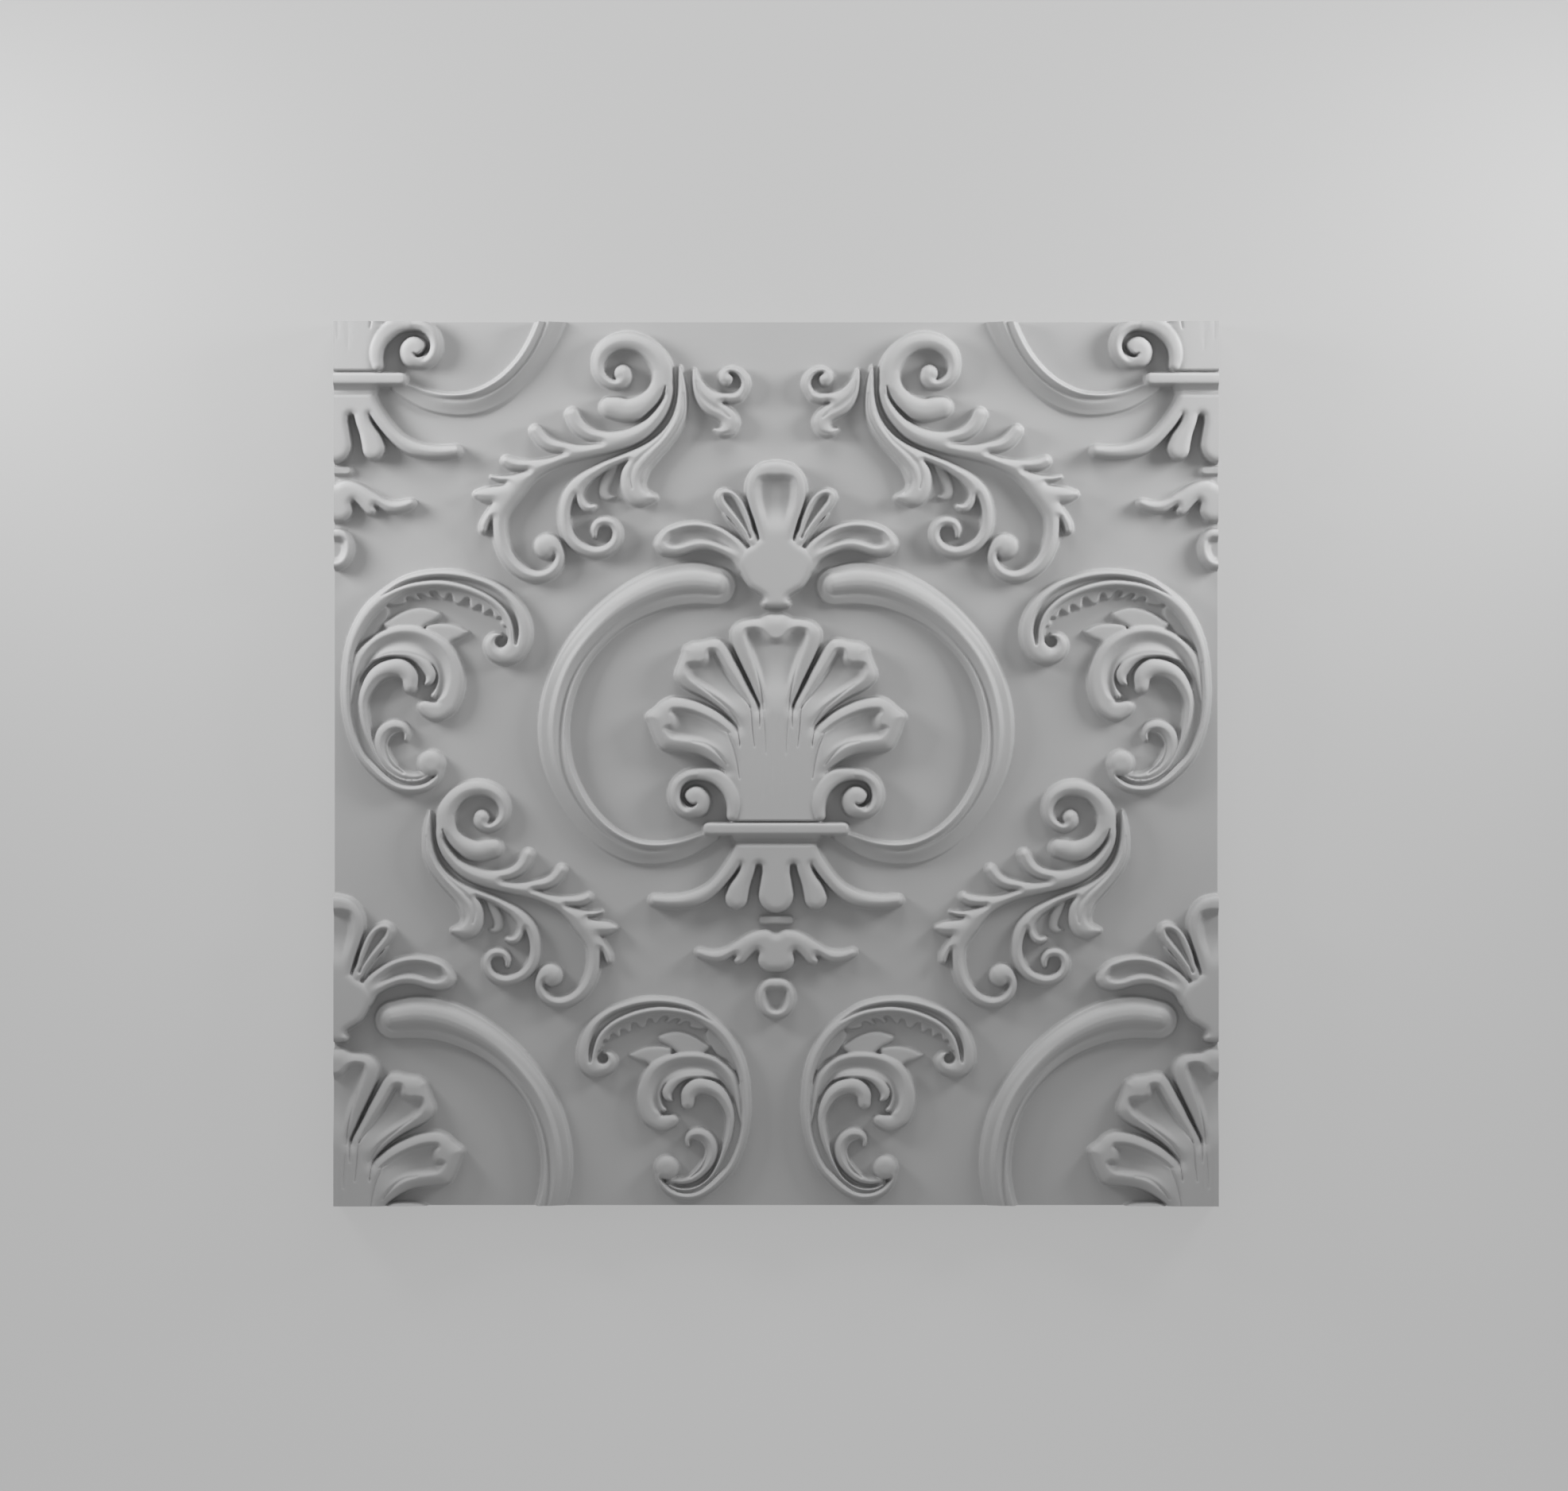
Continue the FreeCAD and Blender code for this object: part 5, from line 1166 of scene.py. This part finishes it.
def slabMesh():
    # The body under the relief: square loops, stacked from the back to the underside of the relief,
    # whose inset follows a quarter circle at the back edge.
    turn = np.linspace(0, math.pi / 2, tile["arrisPoints"])
    inset = tile["arris"] * (1 - np.sin(turn))
    z = tile["arris"] * (1 - np.cos(turn))
    inset = np.append(inset, 0.0)
    z = np.append(z, groundLevel - tile["layerDepth"])
    reach = halfSide - inset
    loops = np.stack([
        np.stack([-reach, -reach, z], axis=1), np.stack([reach, -reach, z], axis=1),
        np.stack([reach, reach, z], axis=1), np.stack([-reach, reach, z], axis=1)], axis=1)
    count = len(z)
    start = np.arange(count - 1)[:, None] * 4 + np.arange(4)
    nextCorner = np.arange(count - 1)[:, None] * 4 + (np.arange(4) + 1) % 4
    sides = np.stack([start, nextCorner, nextCorner + 4, start + 4], axis=2).reshape(-1, 4)
    ends = np.array([[3, 2, 1, 0], np.arange(4) + 4 * (count - 1)])
    mesh = bpy.data.meshes.new("slab")
    mesh.from_pydata((loops.reshape(-1, 3) * mm).tolist(), [], np.vstack([sides, ends]).tolist())
    mesh.update()
    return mesh


def buildPanel():
    motifs = composeRelief()
    height = blurred(mirroredField(np.max(list(motifs.values()), axis=0)), tile["softness"])
    print("relief composed, highest", round(float(height.max()), 2), "mm")
    owner = sided(ownerMap(motifs), {"palmette", "shell", "pedestal", "pendants"})
    leaves = leafCells(splitLevels(height))
    material = plasterMaterial()
    total = 0
    for name in np.unique(owner.astype(str)):
        faces = cellFaces(leaves, owner, name)
        mesh, triangles = meshFrom(name, faces, skirtFaces(faces, owner, name), height)
        sharpenBorder(mesh)
        dress(bpy.data.objects.new(name, mesh), material)
        total += triangles
        print(name, triangles, "triangles")
    dress(bpy.data.objects.new("slab", slabMesh()), material)
    print("panel built,", total, "triangles")


buildPanel()


# Floor, lights and camera.
studio = {
    "floorColour": (0.365, 0.365, 0.365, 1.0),
    "floorRoughness": 0.9,
    "floorReach": 6.0,
    "floorLevel": -0.0002,    # just clear of the panel's back
    "backdrop": (0.64, 0.64, 0.64, 1.0),
    "backdropShare": 0.6,
    "world": 0.42,
    "lamps": {
        "left": {"power": 1.3, "size": 0.26, "spread": 106,
                 "at": (-0.66, 0.37, 0.28), "target": (-0.14, 0.20, 0.0)},
        "right": {"power": 1.3, "size": 0.26, "spread": 106,
                  "at": (0.66, 0.37, 0.28), "target": (0.14, 0.20, 0.0)},
        "top": {"power": 1.1, "size": 0.40, "spread": 120,
                "at": (0.0, 0.85, 0.30), "target": (0.0, -0.05, 0.0)},
    },
    "cameraDistance": 3.9,    # from the ground of the panel
    "sensorWidth": 36.0,
    "viewDepth": 50.0,
    "photoWidth": 1973,
    "pixelsPerMm": 2.2211,
    "lookAt": (0.00448, 0.0103),
}


def buildFloor():
    mesh = bpy.data.meshes.new("floor")
    reach, level = studio["floorReach"], studio["floorLevel"]
    points = [(-reach, -reach, level), (reach, -reach, level), (reach, reach, level), (-reach, reach, level)]
    mesh.from_pydata(points, [], [(0, 1, 2, 3)])
    floor = bpy.data.objects.new("floor", mesh)
    # the camera sees the floor partly as an even pale backdrop; the diffuse light that reaches the panel
    # comes from the plain floor
    material = bpy.data.materials.new("paleFloor")
    material.use_nodes = True
    material.node_tree.nodes.clear()
    n = Nodes(material)
    plain = n.add("ShaderNodeBsdfPrincipled", Base_Color=studio["floorColour"],
                  Roughness=studio["floorRoughness"])
    even = n.add("ShaderNodeEmission", Color=studio["backdrop"], Strength=1.0)
    seen = n.add("ShaderNodeLightPath")
    for ray in (3, 6):      # reflected and refracted views see it too
        seen = seen.math("MAXIMUM", seen, n.add("ShaderNodeLightPath", output=ray))
    mixed = n.add("ShaderNodeMixShader", i0=seen * studio["backdropShare"], i1=plain, i2=even)
    n.add("ShaderNodeOutputMaterial", Surface=mixed)
    mesh.materials.append(material)
    bpy.context.scene.collection.objects.link(floor)


def addLamp(name, look):
    # a soft square lamp turned to its target
    lamp = bpy.data.lights.new(name, "AREA")
    lamp.shape = "SQUARE"
    lamp.size = look["size"]
    lamp.energy = look["power"]
    lamp.spread = math.radians(look["spread"])
    obj = bpy.data.objects.new(name, lamp)
    obj.location = look["at"]
    obj.rotation_euler = (Vector(look["target"]) - obj.location).to_track_quat("-Z", "Y").to_euler()
    bpy.context.scene.collection.objects.link(obj)


def buildCamera():
    camera = bpy.data.cameras.new("camera")
    camera.sensor_width = studio["sensorWidth"]
    distance = studio["cameraDistance"]
    camera.lens = studio["pixelsPerMm"] * distance / mm / studio["photoWidth"] * camera.sensor_width
    camera.clip_end = studio["viewDepth"]
    obj = bpy.data.objects.new("camera", camera)
    obj.location = (*studio["lookAt"], groundLevel * mm + distance)
    bpy.context.scene.collection.objects.link(obj)
    bpy.context.scene.camera = obj


buildFloor()
for lampName, lampLook in studio["lamps"].items():
    addLamp(lampName, lampLook)
buildCamera()
world = bpy.data.worlds.new("studio")
world.use_nodes = True
world.node_tree.nodes["Background"].inputs["Color"].default_value = (1, 1, 1, 1)
world.node_tree.nodes["Background"].inputs["Strength"].default_value = studio["world"]
bpy.context.scene.world = world
bpy.context.scene.view_settings.view_transform = "Standard"
print("studio set")
